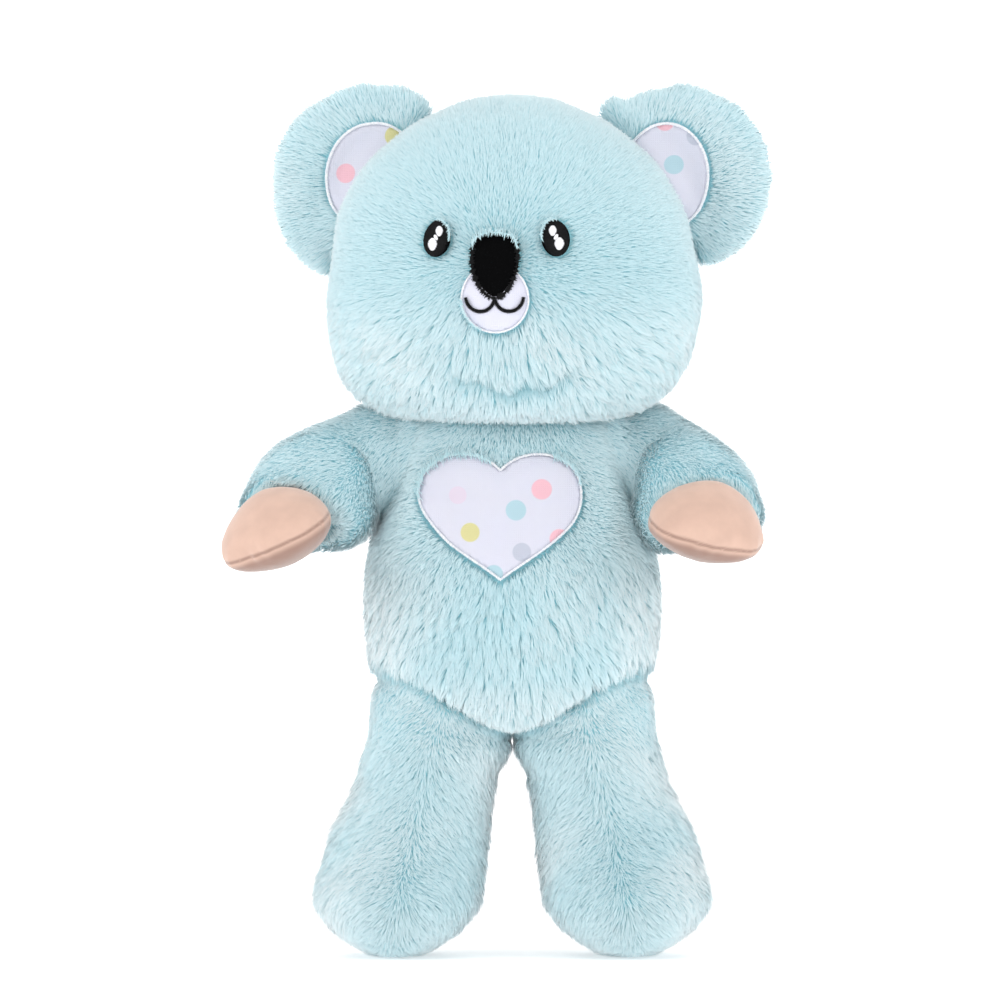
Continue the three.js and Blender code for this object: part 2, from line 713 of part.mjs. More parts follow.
function buildEar(sideName, side) {
  const skin = earSkin(sideName, side);
  const { inward, height, halfWidth, halfHeight } = EAR_LINING;
  const middle = side * (EAR_OUT[sideName] - inward);
  const outline = (grow) => oval(middle, neck.z + height, halfWidth, halfHeight, 0, grow);
  const onFront = (shape, low, high) => layer(skin, shape, low, high, SIDE_SEAM + EAR.cup / 2);
  const keepOut = solidOf(offset(headSkin, EAR_EASE));
  const root = earRoot(side, 0);
  const clearOfHead = (form) => form.subtract(keepOut);
  const pocket = onFront(outline(SEAM_GAP), -PATCH_CLOTH - SEAM_GAP, OUTSIDE);
  const rootRoom = earRoot(side, SEAM_GAP);
  const lining = clearOfHead(onFront(outline(0), -PATCH_CLOTH, 0)).subtract(rootRoom);
  const border = ringShape(outline(EAR_THREAD / 2), outline(-EAR_THREAD / 2));
  const thread = clearOfHead(onFront(border, SEAM_GAP, THREAD_RISE)).subtract(rootRoom);
  const ear = clearOfHead(solidOf(skin).subtract(pocket)).add(root);
  add(headGroup, `ear_${sideName}`, ear, CLOTHS.pile);
  add(headGroup, `ear_lining_${sideName}`, lining, CLOTHS.print);
  add(headGroup, `ear_lining_stitching_${sideName}`, thread, CLOTHS.whiteThread);
}

// The nose's outline: a shield with a nearly flat top and a rounded point below.
function noseOutline() {
  const { halfWidth, topHalfWidth, rise, drop } = NOSE;
  const z = neck.z + NOSE.height;
  const half = new THREE.Path();
  half.moveTo(0, z - drop);
  half.bezierCurveTo(
    0.6 * halfWidth, z - 0.95 * drop,
    halfWidth, z - 0.35 * drop,
    halfWidth, z + 0.15 * rise,
  );
  half.bezierCurveTo(
    halfWidth, z + 0.8 * rise,
    topHalfWidth * 0.95, z + rise,
    0, z + rise,
  );
  const right = half.getPoints(7);
  const left = right
    .slice(1, -1)
    .reverse()
    .map((p) => new THREE.Vector2(-p.x, p.y));
  return [...right, ...left];
}

// The mouth: two curls that meet under the nose, as a band of one width.
function mouthOutline() {
  const { height, curlRadius, thread } = MOUTH;
  const z = neck.z + height;
  const steps = 9;
  const line = [];
  for (let k = 0; k <= steps; k++) {
    const angle = Math.PI + (k / steps) * Math.PI;
    line.push([-curlRadius + curlRadius * Math.cos(angle), z + curlRadius * Math.sin(angle)]);
  }
  const middle = line.length - 1;
  for (let k = 1; k <= steps; k++) {
    const angle = Math.PI + (k / steps) * Math.PI;
    line.push([curlRadius + curlRadius * Math.cos(angle), z + curlRadius * Math.sin(angle)]);
  }
  const edge = (way) =>
    line.map(([x, y], i) => {
      const [ax, ay] = line[Math.max(i - 1, 0)];
      const [bx, by] = line[Math.min(i + 1, line.length - 1)];
      const across = i === middle ? [0, 1] : [-(by - ay), bx - ax];
      const length = Math.hypot(...across);
      const half = (way * thread) / 2;
      return new THREE.Vector2(x + (across[0] / length) * half, y + (across[1] / length) * half);
    });
  return new THREE.Shape([...edge(-1), ...edge(1).reverse()]);
}

function buildHead() {
  const openings = [
    ball(neck, NECK_BALL + SWIVEL_GAP),
    ...SIDES.map(([, side]) => earRoot(side, SWIVEL_GAP)),
  ];
  let shell = solidOf(headSkin).subtract(solidOf(offset(headInner, -PILE_WALL)));
  let filling = solidOf(offset(headInner, -PILE_WALL - SEAM_GAP));
  for (const opening of openings) {
    shell = shell.subtract(opening);
    filling = filling.subtract(opening);
  }
  const inPocket = (outline) =>
    layer(headSkin, outline, -PATCH_CLOTH - SEAM_GAP, OUTSIDE);
  const muzzle = (grow) =>
    oval(0, neck.z + MUZZLE.height, MUZZLE.halfWidth, MUZZLE.halfHeight, 0, grow);
  const eye = (side, grow) =>
    oval(side * EYE.out, neck.z + EYE.height, EYE.halfWidth, EYE.halfHeight, side * EYE.lean, grow);
  shell = shell.subtract(inPocket(muzzle(SEAM_GAP)));
  for (const [, side] of SIDES) {
    shell = shell.subtract(inPocket(eye(side, SEAM_GAP)));
  }
  const seam = new THREE.Vector3(0, SIDE_SEAM, neck.z);
  const [back, front] = splitAtSeam(shell, seam, new THREE.Vector3(0, 1, 0));
  add(headGroup, "head_front_panel", front, CLOTHS.pile);
  add(headGroup, "head_back_panel", back, CLOTHS.pile);
  add(headGroup, "head_filling", filling, CLOTHS.filling);

  for (const [sideName, side] of SIDES) {
    add(headGroup, `eye_${sideName}`, layer(headSkin, eye(side, 0), -PATCH_CLOTH, 0), CLOTHS.blackThread);
    for (const [glintName, glint] of [
      ["upper", GLINT_UPPER],
      ["lower", GLINT_LOWER],
    ]) {
      const outline = oval(
        side * (EYE.out + glint.out),
        neck.z + EYE.height + glint.up,
        glint.halfWidth,
        glint.halfHeight,
      );
      add(
        headGroup,
        `eye_glint_${glintName}_${sideName}`,
        layer(headSkin, outline, SEAM_GAP, THREAD_RISE),
        CLOTHS.whiteThread,
      );
    }
  }

  const nose = noseOutline();
  const noseRing = ringShape(
    grownOutline(nose, NOSE_THREAD / 2),
    grownOutline(nose, -NOSE_THREAD / 2),
  );
  const noseCloth = grownOutline(nose, -NOSE_THREAD / 2 - SEAM_GAP);
  const noseRoom = layer(
    headSkin,
    grownOutline(nose, NOSE_THREAD / 2 + SEAM_GAP),
    -INSIDE,
    OUTSIDE,
  );
  const muzzleRing = ringShape(muzzle(MUZZLE_THREAD / 2), muzzle(-MUZZLE_THREAD / 2));
  add(headGroup, "muzzle_patch", layer(headSkin, muzzle(0), -PATCH_CLOTH, 0), CLOTHS.white);
  add(
    headGroup,
    "muzzle_stitching",
    layer(headSkin, muzzleRing, SEAM_GAP, THREAD_RISE).subtract(noseRoom),
    CLOTHS.whiteThread,
  );
  add(
    headGroup,
    "nose_patch",
    layer(headSkin, noseCloth, SEAM_GAP, SEAM_GAP + PATCH_CLOTH),
    CLOTHS.blackCloth,
  );
  add(
    headGroup,
    "nose_stitching",
    layer(headSkin, noseRing, SEAM_GAP, SEAM_GAP + NOSE_THREAD_RISE),
    CLOTHS.blackThread,
  );
  add(
    headGroup,
    "mouth_stitching",
    layer(headSkin, mouthOutline(), SEAM_GAP, SEAM_GAP + THREAD_RISE).subtract(noseRoom),
    CLOTHS.blackThread,
  );
}

buildTorso();
add(doll, "neck_filling", ball(neck, NECK_BALL), CLOTHS.filling);
for (const [sideName, side] of SIDES) {
  buildLeg(sideName, side);
  buildArm(sideName, side);
  buildEar(sideName, side);
}
buildHead();

// The head turns on the upright line through the neck ball.
headGroup.position.copy(neck);
headGroup.rotation.z = THREE.MathUtils.degToRad(HEAD_TURN);
for (const mesh of headGroup.children) {
  mesh.position.copy(neck).negate();
}

// The origin is the middle of the doll's bounding box, at the floor.
const bounds = new THREE.Box3().setFromObject(doll, true);
doll.position.set(
  -(bounds.min.x + bounds.max.x) / 2,
  -(bounds.min.y + bounds.max.y) / 2,
  -bounds.min.z,
);

export default doll;
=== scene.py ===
import json
import logging
import math
from dataclasses import dataclass, field
from enum import Enum
from typing import Callable, Iterable, Sequence

import bmesh
import bpy
import numpy as np
from mathutils import Matrix, Vector, geometry
from mathutils.bvhtree import BVHTree


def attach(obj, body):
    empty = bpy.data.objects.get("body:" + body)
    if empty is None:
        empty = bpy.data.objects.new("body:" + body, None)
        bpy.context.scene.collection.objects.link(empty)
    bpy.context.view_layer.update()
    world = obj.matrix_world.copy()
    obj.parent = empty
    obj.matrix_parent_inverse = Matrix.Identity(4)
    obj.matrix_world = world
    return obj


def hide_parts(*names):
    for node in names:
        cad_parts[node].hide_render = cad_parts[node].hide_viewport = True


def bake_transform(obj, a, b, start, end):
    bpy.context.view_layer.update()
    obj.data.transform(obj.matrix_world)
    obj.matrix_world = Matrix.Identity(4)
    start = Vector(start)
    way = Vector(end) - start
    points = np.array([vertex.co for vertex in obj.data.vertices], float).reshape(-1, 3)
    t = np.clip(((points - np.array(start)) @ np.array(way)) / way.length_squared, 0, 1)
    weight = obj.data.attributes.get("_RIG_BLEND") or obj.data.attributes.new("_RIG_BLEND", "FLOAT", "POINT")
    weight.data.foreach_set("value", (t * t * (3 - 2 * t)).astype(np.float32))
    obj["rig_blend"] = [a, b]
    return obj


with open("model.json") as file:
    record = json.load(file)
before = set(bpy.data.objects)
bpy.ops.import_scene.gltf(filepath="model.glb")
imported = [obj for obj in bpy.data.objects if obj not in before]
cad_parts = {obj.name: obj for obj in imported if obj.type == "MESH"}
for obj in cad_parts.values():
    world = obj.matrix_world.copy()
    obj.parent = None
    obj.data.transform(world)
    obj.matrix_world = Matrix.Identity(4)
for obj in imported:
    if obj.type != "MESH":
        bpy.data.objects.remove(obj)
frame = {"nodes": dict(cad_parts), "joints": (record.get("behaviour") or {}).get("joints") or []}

LOG = logging.getLogger("doll")
MM = 0.001
GROUND = 0.4 * MM  # a skin's lowest height over the floor
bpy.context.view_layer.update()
Outline = list[tuple[float, float]]
Socket = bpy.types.NodeSocket
Field = Callable[[np.ndarray, np.ndarray], np.ndarray]


class Side(Enum):
    """The doll's own left and right."""

    LEFT = 1
    RIGHT = -1

    @property
    def word(self) -> str:
        """The side's name, as nodes and bodies carry it."""
        return self.name.lower()


class Slot(Enum):
    """The record's material slots."""

    PILE = "pile_cloth"
    FLEECE = "hand_fleece"
    PRINT = "dotted_cotton"
    MUZZLE = "white_fleece"
    WHITE_THREAD = "white_thread"
    NOSE = "black_plush"
    BLACK_THREAD = "black_thread"


def joint_place(name: str) -> Vector:
    """Finds where a joint of the doll is.

    Args:
        name: the joint's name in the record.

    Returns:
        Its place at rest.
    """
    return Vector(next(j["pos_m"] for j in frame["joints"] if j["name"] == name))


@dataclass(frozen=True)
class Anchors:
    """Places that several pieces share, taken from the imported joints."""

    neck: Vector = field(default_factory=lambda: joint_place("head_turn"))
    shoulders: dict[Side, Vector] = field(
        default_factory=lambda: {s: joint_place(f"arm_swing_{s.word}") for s in Side}
    )
    neck_behind_middle: float = 2 * MM
    crotch_height: float = 97 * MM
    head_turn: float = math.radians(-6.5)

    @property
    def middle(self) -> Vector:
        """The foot of the torso's middle line."""
        return Vector((self.neck.x, self.neck.y - self.neck_behind_middle, 0))

    @property
    def head(self) -> Matrix:
        """From the unturned head, measured from its neck ball, to the doll's frame."""
        return Matrix.Translation(self.neck) @ Matrix.Rotation(self.head_turn, 4, "Z")

    def to_head(self, points: np.ndarray) -> np.ndarray:
        """Brings points of the doll into the unturned head's frame."""
        return (points - np.array(self.neck)) @ np.array(self.head.to_3x3())

    def from_head(self, local: np.ndarray) -> np.ndarray:
        """Brings points of the unturned head into the doll's frame."""
        return local @ np.array(self.head.to_3x3()).T + np.array(self.neck)

    @property
    def front(self) -> Matrix:
        """From the torso's middle line to the doll's frame."""
        return Matrix.Translation(self.middle)


ANCHORS = Anchors()


def linear(code: str) -> tuple[float, float, float, float]:
    """Turns an sRGB hex colour into linear values for a shader socket.

    Args:
        code: the colour as #rrggbb.

    Returns:
        Red, green, blue and full alpha.
    """
    parts = [int(code[i : i + 2], 16) / 255 for i in (1, 3, 5)]
    rgb = [c / 12.92 if c <= 0.04045 else ((c + 0.055) / 1.055) ** 2.4 for c in parts]
    return (rgb[0], rgb[1], rgb[2], 1.0)


def set_inputs(
    tree: bpy.types.NodeTree, node: bpy.types.Node, inputs: dict[int | str, object]
) -> None:
    """Sets or links a node's inputs.

    Args:
        tree: the node tree.
        node: the node.
        inputs: a value, or the socket to link from, for each input by name or number.
    """
    for key, value in inputs.items():
        found = node.inputs[key] if isinstance(key, int) else next(
            s for s in node.inputs if s.name == key and s.enabled
        )
        if isinstance(value, Socket):
            tree.links.new(value, found)
        else:
            found.default_value = value


def add_node(
    tree: bpy.types.NodeTree,
    kind: str,
    inputs: dict[int | str, object] | None = None,
    **settings: object,
) -> bpy.types.Node:
    """Adds a node with its settings, and sets or links its inputs.

    Args:
        tree: the node tree that gets the node.
        kind: the node's type name.
        inputs: a value, or the socket to link from, for each input by name or number.
        settings: the node's own properties.

    Returns:
        The new node.
    """
    made = tree.nodes.new(kind)
    for key, value in settings.items():
        setattr(made, key, value)
    set_inputs(tree, made, inputs or {})
    return made


@dataclass(frozen=True)
class Graph:
    """A node tree, with a short way to add each kind of node that recurs."""

    tree: bpy.types.NodeTree

    def add(
        self, kind: str, inputs: dict[int | str, object] | None = None, **settings: object
    ) -> bpy.types.Node:
        """Adds a node of any kind."""
        return add_node(self.tree, kind, inputs, **settings)

    def math(self, operation: str, *values: object) -> Socket:
        """What a math node makes of its values."""
        return self.add("ShaderNodeMath", dict(enumerate(values)), operation=operation).outputs[0]

    def vector(self, operation: str, *values: object) -> Socket:
        """What a vector node makes of its values. SCALE takes its factor second."""
        inputs: dict[int | str, object] = dict(enumerate(values))
        if operation == "SCALE":
            inputs["Scale"] = inputs.pop(1)
        one_number = operation in ("LENGTH", "DISTANCE", "DOT_PRODUCT")
        made = self.add("ShaderNodeVectorMath", inputs, operation=operation)
        return made.outputs["Value" if one_number else "Vector"]

    def logic(self, operation: str, *values: object) -> Socket:
        """What a boolean node makes of its values."""
        return self.add("FunctionNodeBooleanMath", dict(enumerate(values)), operation=operation).outputs[0]

    def compare(self, value: Socket, operation: str, limit: float) -> Socket:
        """Whether a number is above or below a limit."""
        inputs = {"A": value, "B": limit}
        return self.add("FunctionNodeCompare", inputs, data_type="FLOAT", operation=operation).outputs[0]

    def combine(self, x: object = 0.0, y: object = 0.0, z: object = 0.0) -> Socket:
        """A vector from three numbers."""
        return self.add("ShaderNodeCombineXYZ", {"X": x, "Y": y, "Z": z}).outputs[0]

    def separate(self, value: Socket) -> bpy.types.NodeOutputs:
        """The three numbers of a vector."""
        return self.add("ShaderNodeSeparateXYZ", {0: value}).outputs

    def position(self) -> Socket:
        """Where each point is."""
        return self.add("GeometryNodeInputPosition").outputs[0]

    def stored(self, name: object, kind: str = "FLOAT") -> Socket:
        """A named attribute, as geometry nodes read it."""
        made = self.add("GeometryNodeInputNamedAttribute", {"Name": name}, data_type=kind)
        return made.outputs["Attribute"]

    def store(
        self, geometry: Socket, name: str, value: Socket, kind: str = "FLOAT", domain: str = "POINT"
    ) -> Socket:
        """A geometry with one more named attribute."""
        inputs = {"Geometry": geometry, "Name": name, "Value": value}
        return self.add("GeometryNodeStoreNamedAttribute", inputs, data_type=kind, domain=domain).outputs[0]

    def random(self, low: object, high: object, seed: object, kind: str = "FLOAT") -> Socket:
        """A random value for each point."""
        inputs = {"Min": low, "Max": high, "Seed": seed}
        return self.add("FunctionNodeRandomValue", inputs, data_type=kind).outputs["Value"]

    def turned(self, up: Socket, ahead: Socket) -> Socket:
        """The rotation that brings Z to one way and Y towards another."""
        inputs = {"Primary Axis": up, "Secondary Axis": ahead}
        axes = {"primary_axis": "Z", "secondary_axis": "Y"}
        return self.add("FunctionNodeAxesToRotation", inputs, **axes).outputs[0]

    def ranged(self, value: Socket, low: float, high: float) -> Socket:
        """A share from 0 to 1, brought between two numbers."""
        return self.add("ShaderNodeMapRange", {"Value": value, "To Min": low, "To Max": high}).outputs[0]

    def read(self, name: str) -> Socket:
        """A named attribute, as a material reads it."""
        return self.add("ShaderNodeAttribute", attribute_name=name).outputs["Fac"]

    def place(self) -> Socket:
        """Where a point of a material is on its object."""
        return self.add("ShaderNodeTexCoord").outputs["Object"]

    def noise(self, place: Socket, scale: float, detail: float) -> bpy.types.NodeOutputs:
        """A cloudy texture."""
        return self.add("ShaderNodeTexNoise", {"Vector": place, "Scale": scale, "Detail": detail}).outputs

    def mixed(self, share: object, first: object, second: object, **settings: object) -> Socket:
        """A colour between two colours."""
        inputs = {0: share, "A": first, "B": second}
        return self.add("ShaderNodeMix", inputs, data_type="RGBA", **settings).outputs["Result"]

    def ramp(self, share: Socket, *stops: tuple[float, str]) -> Socket:
        """A colour from a ramp, with a place and an sRGB hex colour for each stop."""
        made = self.add("ShaderNodeValToRGB", {"Fac": share})
        elements = made.color_ramp.elements
        elements[0].color, elements[1].color = linear(stops[0][1]), linear(stops[-1][1])
        for place, colour in stops[1:-1]:
            elements.new(place).color = linear(colour)
        return made.outputs["Color"]

    def bump(self, height: Socket, strength: float, distance: float) -> Socket:
        """A normal that follows a texture's height."""
        inputs = {"Height": height, "Strength": strength, "Distance": distance}
        return self.add("ShaderNodeBump", inputs).outputs["Normal"]

    def shade(self, inputs: dict[str, object]) -> None:
        """Sets or links inputs of a material's surface shader."""
        set_inputs(self.tree, self.tree.nodes["Principled BSDF"], inputs)


def new_material(name: str) -> tuple[bpy.types.Material, Graph]:
    """Makes a material with the standard surface shader.

    Args:
        name: the real material's name.

    Returns:
        The material and its node tree.
    """
    made = bpy.data.materials.new(name)
    made.use_nodes = True
    return made, Graph(made.node_tree)


def smooth(values: np.ndarray, low: float, high: float) -> np.ndarray:
    """Rises smoothly from 0 at low to 1 at high.

    Args:
        values: what is compared.
        low: where the result leaves 0.
        high: where it reaches 1. It may be less than low, and then the result falls.

    Returns:
        The share for each value.
    """
    t = np.clip((values - low) / (high - low), 0, 1)
    return t * t * (3 - 2 * t)


def unit(vectors: np.ndarray) -> np.ndarray:
    """Gives each row of an array a length of 1."""
    return vectors / np.maximum(np.linalg.norm(vectors, axis=1, keepdims=True), 1e-9)


def laid(ways: np.ndarray, normals: np.ndarray) -> np.ndarray:
    """Lays ways down on a surface with these normals, each with a length of 1."""
    return unit(ways - normals * (ways * normals).sum(1, keepdims=True))


def points_of(mesh: bpy.types.Mesh) -> np.ndarray:
    """The vertices of a mesh as rows of x, y and z."""
    flat = np.empty(len(mesh.vertices) * 3, np.float32)
    mesh.vertices.foreach_get("co", flat)
    return flat.reshape(-1, 3).astype(float)


def normals_of(mesh: bpy.types.Mesh) -> np.ndarray:
    """The vertex normals of a mesh as rows of x, y and z."""
    flat = np.empty(len(mesh.vertices) * 3, np.float32)
    mesh.vertex_normals.foreach_get("vector", flat)
    return flat.reshape(-1, 3).astype(float)


def move_points(mesh: bpy.types.Mesh, points: np.ndarray) -> None:
    """Puts every vertex of a mesh at a new place."""
    mesh.vertices.foreach_set("co", points.astype(np.float32).ravel())
    mesh.update()


def give(mesh: bpy.types.Mesh, name: str, values: np.ndarray) -> None:
    """Stores a number or a vector for each vertex of a mesh.

    Args:
        mesh: the mesh.
        name: the attribute's name.
        values: one number or one row of three for each vertex.
    """
    vector = values.ndim == 2
    made = mesh.attributes.new(name, "FLOAT_VECTOR" if vector else "FLOAT", "POINT")
    made.data.foreach_set("vector" if vector else "value", values.astype(np.float32).ravel())


def give_all(mesh: bpy.types.Mesh, **values: np.ndarray | float) -> None:
    """Stores several attributes, where a plain number is the same for every vertex."""
    for name, value in values.items():
        give(mesh, name, value if isinstance(value, np.ndarray) else np.full(len(mesh.vertices), value))


def drop(mesh: bpy.types.Mesh, spare: Callable[[bpy.types.Attribute], bool]) -> None:
    """Removes the attributes of a mesh that a test picks."""
    for name in [a.name for a in mesh.attributes if spare(a)]:
        mesh.attributes.remove(mesh.attributes[name])


def linked(name: str, mesh: bpy.types.Mesh) -> bpy.types.Object:
    """A new object at the origin that holds a mesh."""
    made = bpy.data.objects.new(name, mesh)
    bpy.context.scene.collection.objects.link(made)
    return made


def settle(piece: bpy.types.Object) -> None:
    """Turns what a piece's modifiers make of it into its plain mesh, and removes them."""
    graph = bpy.context.evaluated_depsgraph_get()
    made = bpy.data.meshes.new_from_object(piece.evaluated_get(graph), depsgraph=graph)
    piece.modifiers.clear()
    piece.data, old = made, piece.data
    bpy.data.meshes.remove(old)


def shade_smooth(mesh: bpy.types.Mesh) -> None:
    """Marks every face of a mesh as smooth."""
    mesh.polygons.foreach_set("use_smooth", [True] * len(mesh.polygons))


def clothe(mesh: bpy.types.Mesh, material: bpy.types.Material) -> None:
    """Makes a material the only one of a mesh."""
    mesh.materials.clear()
    mesh.materials.append(material)


class Surface:
    """The outside of a skin, to lay patches, stitches and partings on."""

    def __init__(self, mesh: bpy.types.Mesh) -> None:
        """Takes the mesh as it is now.

        Args:
            mesh: the skin's mesh.
        """
        faces = [tuple(p.vertices) for p in mesh.polygons]
        self.tree = BVHTree.FromPolygons([v.co[:] for v in mesh.vertices], faces)

    def hit(self, place: Matrix, u: float, v: float) -> Vector | None:
        """Finds the surface behind a point of the front view.

        Args:
            place: from the piece's own frame to the doll's.
            u: the point's x in the piece's frame.
            v: its z there.

        Returns:
            The point of the surface, or None where there is none.
        """
        way = place.to_3x3() @ Vector((0, 1, 0))
        return self.tree.ray_cast(place @ Vector((u, -0.4, v)), way)[0]

    def at(self, place: Matrix, u: float, v: float, lift: float) -> tuple[Vector, Vector]:
        """Finds a point at some height over the surface.

        Args:
            place: from the piece's own frame to the doll's.
            u: the point's x in the piece's frame.
            v: its z there.
            lift: how far over the surface the point is, along its normal.

        Returns:
            The lifted point and the surface's normal.
        """
        step = 2 * MM
        point = self.hit(place, u, v)
        sides = ((-step, 0), (step, 0), (0, -step), (0, step))
        around = [self.hit(place, u + a, v + b) for a, b in sides]
        if point is None or None in around:
            raise ValueError(f"nothing at {u:.4f}, {v:.4f}")
        normal = (around[1] - around[0]).cross(around[3] - around[2]).normalized()
        return point + normal * lift, normal

    def holds(self, point: Vector) -> bool:
        """Whether a point is inside: a line from it then leaves once more than it enters."""
        way = Vector((0.31, 0.47, 0.83)).normalized()
        crossings = 0
        while (spot := self.tree.ray_cast(point, way)[0]) is not None:
            crossings += 1
            point = spot + way * 1e-5
        return crossings % 2 == 1

    def height(self, points: np.ndarray, reach: float = 8 * MM) -> np.ndarray:
        """How far points are outside the surface, or inside it where negative.

        Args:
            points: rows of x, y and z.
            reach: a point outside that is farther away than this counts as this far.

        Returns:
            One distance for each row.
        """
        out = np.empty(len(points))
        for i, row in enumerate(points):
            point = Vector(row)
            apart = min(self.tree.find_nearest(point)[3], reach)
            out[i] = -apart if self.holds(point) else apart
        return out


@dataclass(frozen=True)
class Pile:
    """Long polyester pile, combed: each strand is darker aqua at its foot, painted shade low in the pile,
    and whitish at its tip, partly its own colour and partly painted sheen.
    """

    foot: str = "#a9e0e9"
    middle: str = "#d0eff5"
    middle_at: float = 0.42  # as a share of the strand's length
    tip: str = "#def3f8"
    # Whitish tips, partly the pile's own colour and partly painted sheen, mix towards this.
    frosted: str = "#f8fcfd"
    deep: str = "#74bfcc"  # painted shade, mixed in at creases, in the chin's gather and thinly over the head and lower torso
    tones: tuple[float, float] = (0.93, 1.04)  # the darkest and the lightest strand
    # Fine round fibres scatter light from every angle, so the cloth has no clear highlight.
    roughness: float = 0.62
    specular: float = 0.3
    sheen: float = 0.8
    sheen_roughness: float = 0.5
    ground: tuple[str, str] = ("#86cbd8", "#a6dae4")
    ground_roughness: float = 0.9
    ground_sheen: float = 0.3
    loops_per_metre: float = 900.0

    def strands(self) -> bpy.types.Material:
        """The material of the strands, which reads where along its strand a point is."""
        made, graph = new_material("polyester pile strands")
        along, tint, frost, crease = (graph.read(name) for name in ("along", "tint", "frost", "deep"))
        # Darker towards the foot: painted shade low in the pile.
        aqua = graph.ramp(along, (0.0, self.foot), (self.middle_at, self.middle), (1.0, self.tip))
        # Whitish bands on the tips: partly the pile's own colour, partly painted sheen.
        frosted = graph.mixed(graph.math("MULTIPLY", along, frost), aqua, linear(self.frosted))
        toned = graph.mixed(1.0, frosted, graph.ranged(tint, *self.tones), blend_type="MULTIPLY")
        # The crease share mixes painted shade into the base colour.
        graph.shade({
            "Base Color": graph.mixed(crease, toned, linear(self.deep)),
            "Roughness": self.roughness,
            "Specular IOR Level": self.specular,
            "Sheen Weight": self.sheen,
            "Sheen Roughness": self.sheen_roughness,
        })
        return made

    def backing(self) -> bpy.types.Material:
        """The knitted ground that the pile stands in, seen only between strands."""
        made, graph = new_material("knitted pile backing")
        loops = graph.noise(graph.place(), self.loops_per_metre, 3.0)["Fac"]
        graph.shade({
            "Base Color": graph.ramp(loops, (0.0, self.ground[0]), (1.0, self.ground[1])),
            "Normal": graph.bump(loops, 0.8, 0.8 * MM),
            "Roughness": self.ground_roughness,
            "Sheen Weight": self.ground_sheen,
        })
        return made


@dataclass(frozen=True)
class Velour:
    """Short-nap cloth: fibres of a millimetre that stand up and catch light at its edges."""

    name: str
    colour: str
    shadow: str
    roughness: float = 0.85
    sheen: float = 0.5
    specular: float = 0.5
    sheen_roughness: float = 0.4
    # The nap is drawn at 0.5 mm, a little coarser than the real one, so that it shows.
    nap: float = 0.5 * MM
    clouds_per_metre: float = 90.0
    mottling: float = 0.16  # how far a cloudy spot goes towards the shadow's colour

    def material(self) -> bpy.types.Material:
        """The cloth's material, with painted shade along a sewn seam and over a hand's lower panel where the
        mesh carries a seam attribute, and darker cloudy spots.
        """
        made, graph = new_material(self.name)
        place = graph.place()
        nap = graph.noise(place, 1 / self.nap, 2.0)["Fac"]
        cloudy = graph.noise(place, self.clouds_per_metre, 3.0)["Fac"]
        range_of = {"Value": cloudy, "From Min": 0.35, "From Max": 0.7, "To Max": self.mottling}
        mottled = graph.add("ShaderNodeMapRange", range_of).outputs[0]
        # Painted shade along a seam and over a hand's lower panel, with the cloth's own cloudy spots mixed
        # in.
        deep = graph.math("MAXIMUM", graph.read("seam"), mottled)
        graph.shade({
            "Base Color": graph.mixed(deep, linear(self.colour), linear(self.shadow)),
            "Normal": graph.bump(nap, 0.35, 0.3 * MM),
            "Roughness": self.roughness,
            "Specular IOR Level": self.specular,
            "Sheen Weight": self.sheen,
            "Sheen Roughness": self.sheen_roughness,
        })
        return made


@dataclass(frozen=True)
class Dot:
    """One printed dot, in millimetres from its patch's own middle."""

    x: float
    z: float
    radius: float
    colour: str


@dataclass(frozen=True)
class Cotton:
    """Printed cotton poplin: a plain weave with soft pastel dots, matt and slightly uneven."""

    name: str
    place: Matrix
    dots: tuple[Dot, ...] = ()
    ground: str = "#d8d7e1"
    uneven_ground: str = "#d6d7e8"
    # Poplin has a thread every 0.3 mm. It is drawn at 0.8 mm, so that the weave shows.
    thread: float = 0.8 * MM
    soft_edge: float = 0.25  # half the width of a dot's soft edge, in millimetres
    roughness: float = 0.8
    sheen: float = 0.1

    def material(self) -> bpy.types.Material:
        """The cloth's material. The print lies in the patch's own frame."""
        made, graph = new_material(self.name)
        inverse = self.place.inverted()
        frame_of = {"Location": inverse.to_translation(), "Rotation": inverse.to_euler()}
        laid = graph.add("ShaderNodeMapping", {"Vector": graph.place(), **frame_of}).outputs["Vector"]
        flat = graph.vector("MULTIPLY", laid, (1, 0, 1))
        cloudy = graph.noise(flat, 60.0, 4.0)["Fac"]
        colour = graph.mixed(cloudy, linear(self.ground), linear(self.uneven_ground))
        for dot in self.dots:
            apart = graph.vector("DISTANCE", flat, (dot.x * MM, 0, dot.z * MM))
            rim = {
                "From Min": (dot.radius + self.soft_edge) * MM,
                "From Max": (dot.radius - self.soft_edge) * MM,
            }
            inside = graph.add("ShaderNodeMapRange", {"Value": apart, **rim}).outputs[0]
            colour = graph.mixed(inside, colour, linear(dot.colour))
        # Blender's wave texture has one band for each 20th of a turn of its scale.
        threads = {"Vector": flat, "Scale": math.tau / self.thread / 20, "Distortion": 0.6}
        weft, warp = (
            graph.add("ShaderNodeTexWave", threads, bands_direction=way).outputs["Fac"] for way in "XZ"
        )
        graph.shade({
            "Base Color": colour,
            "Normal": graph.bump(graph.math("ADD", weft, warp), 0.25, 0.2 * MM),
            "Roughness": self.roughness,
            "Sheen Weight": self.sheen,
        })
        return made


@dataclass(frozen=True)
class Thread:
    """Rayon embroidery thread: smooth twisted filament with a soft silky shine along it."""

    name: str
    light: str
    dark: str
    roughness: float = 0.38
    sheen: float = 0.2
    specular: float = 0.5

    def material(self) -> bpy.types.Material:
        """The thread's material, each stitch a little lighter or darker."""
        made, graph = new_material(self.name)
        graph.shade({
            "Base Color": graph.mixed(graph.read("tint"), linear(self.dark), linear(self.light)),
            "Roughness": self.roughness,
            "Sheen Weight": self.sheen,
            "Specular IOR Level": self.specular,
        })
        return made


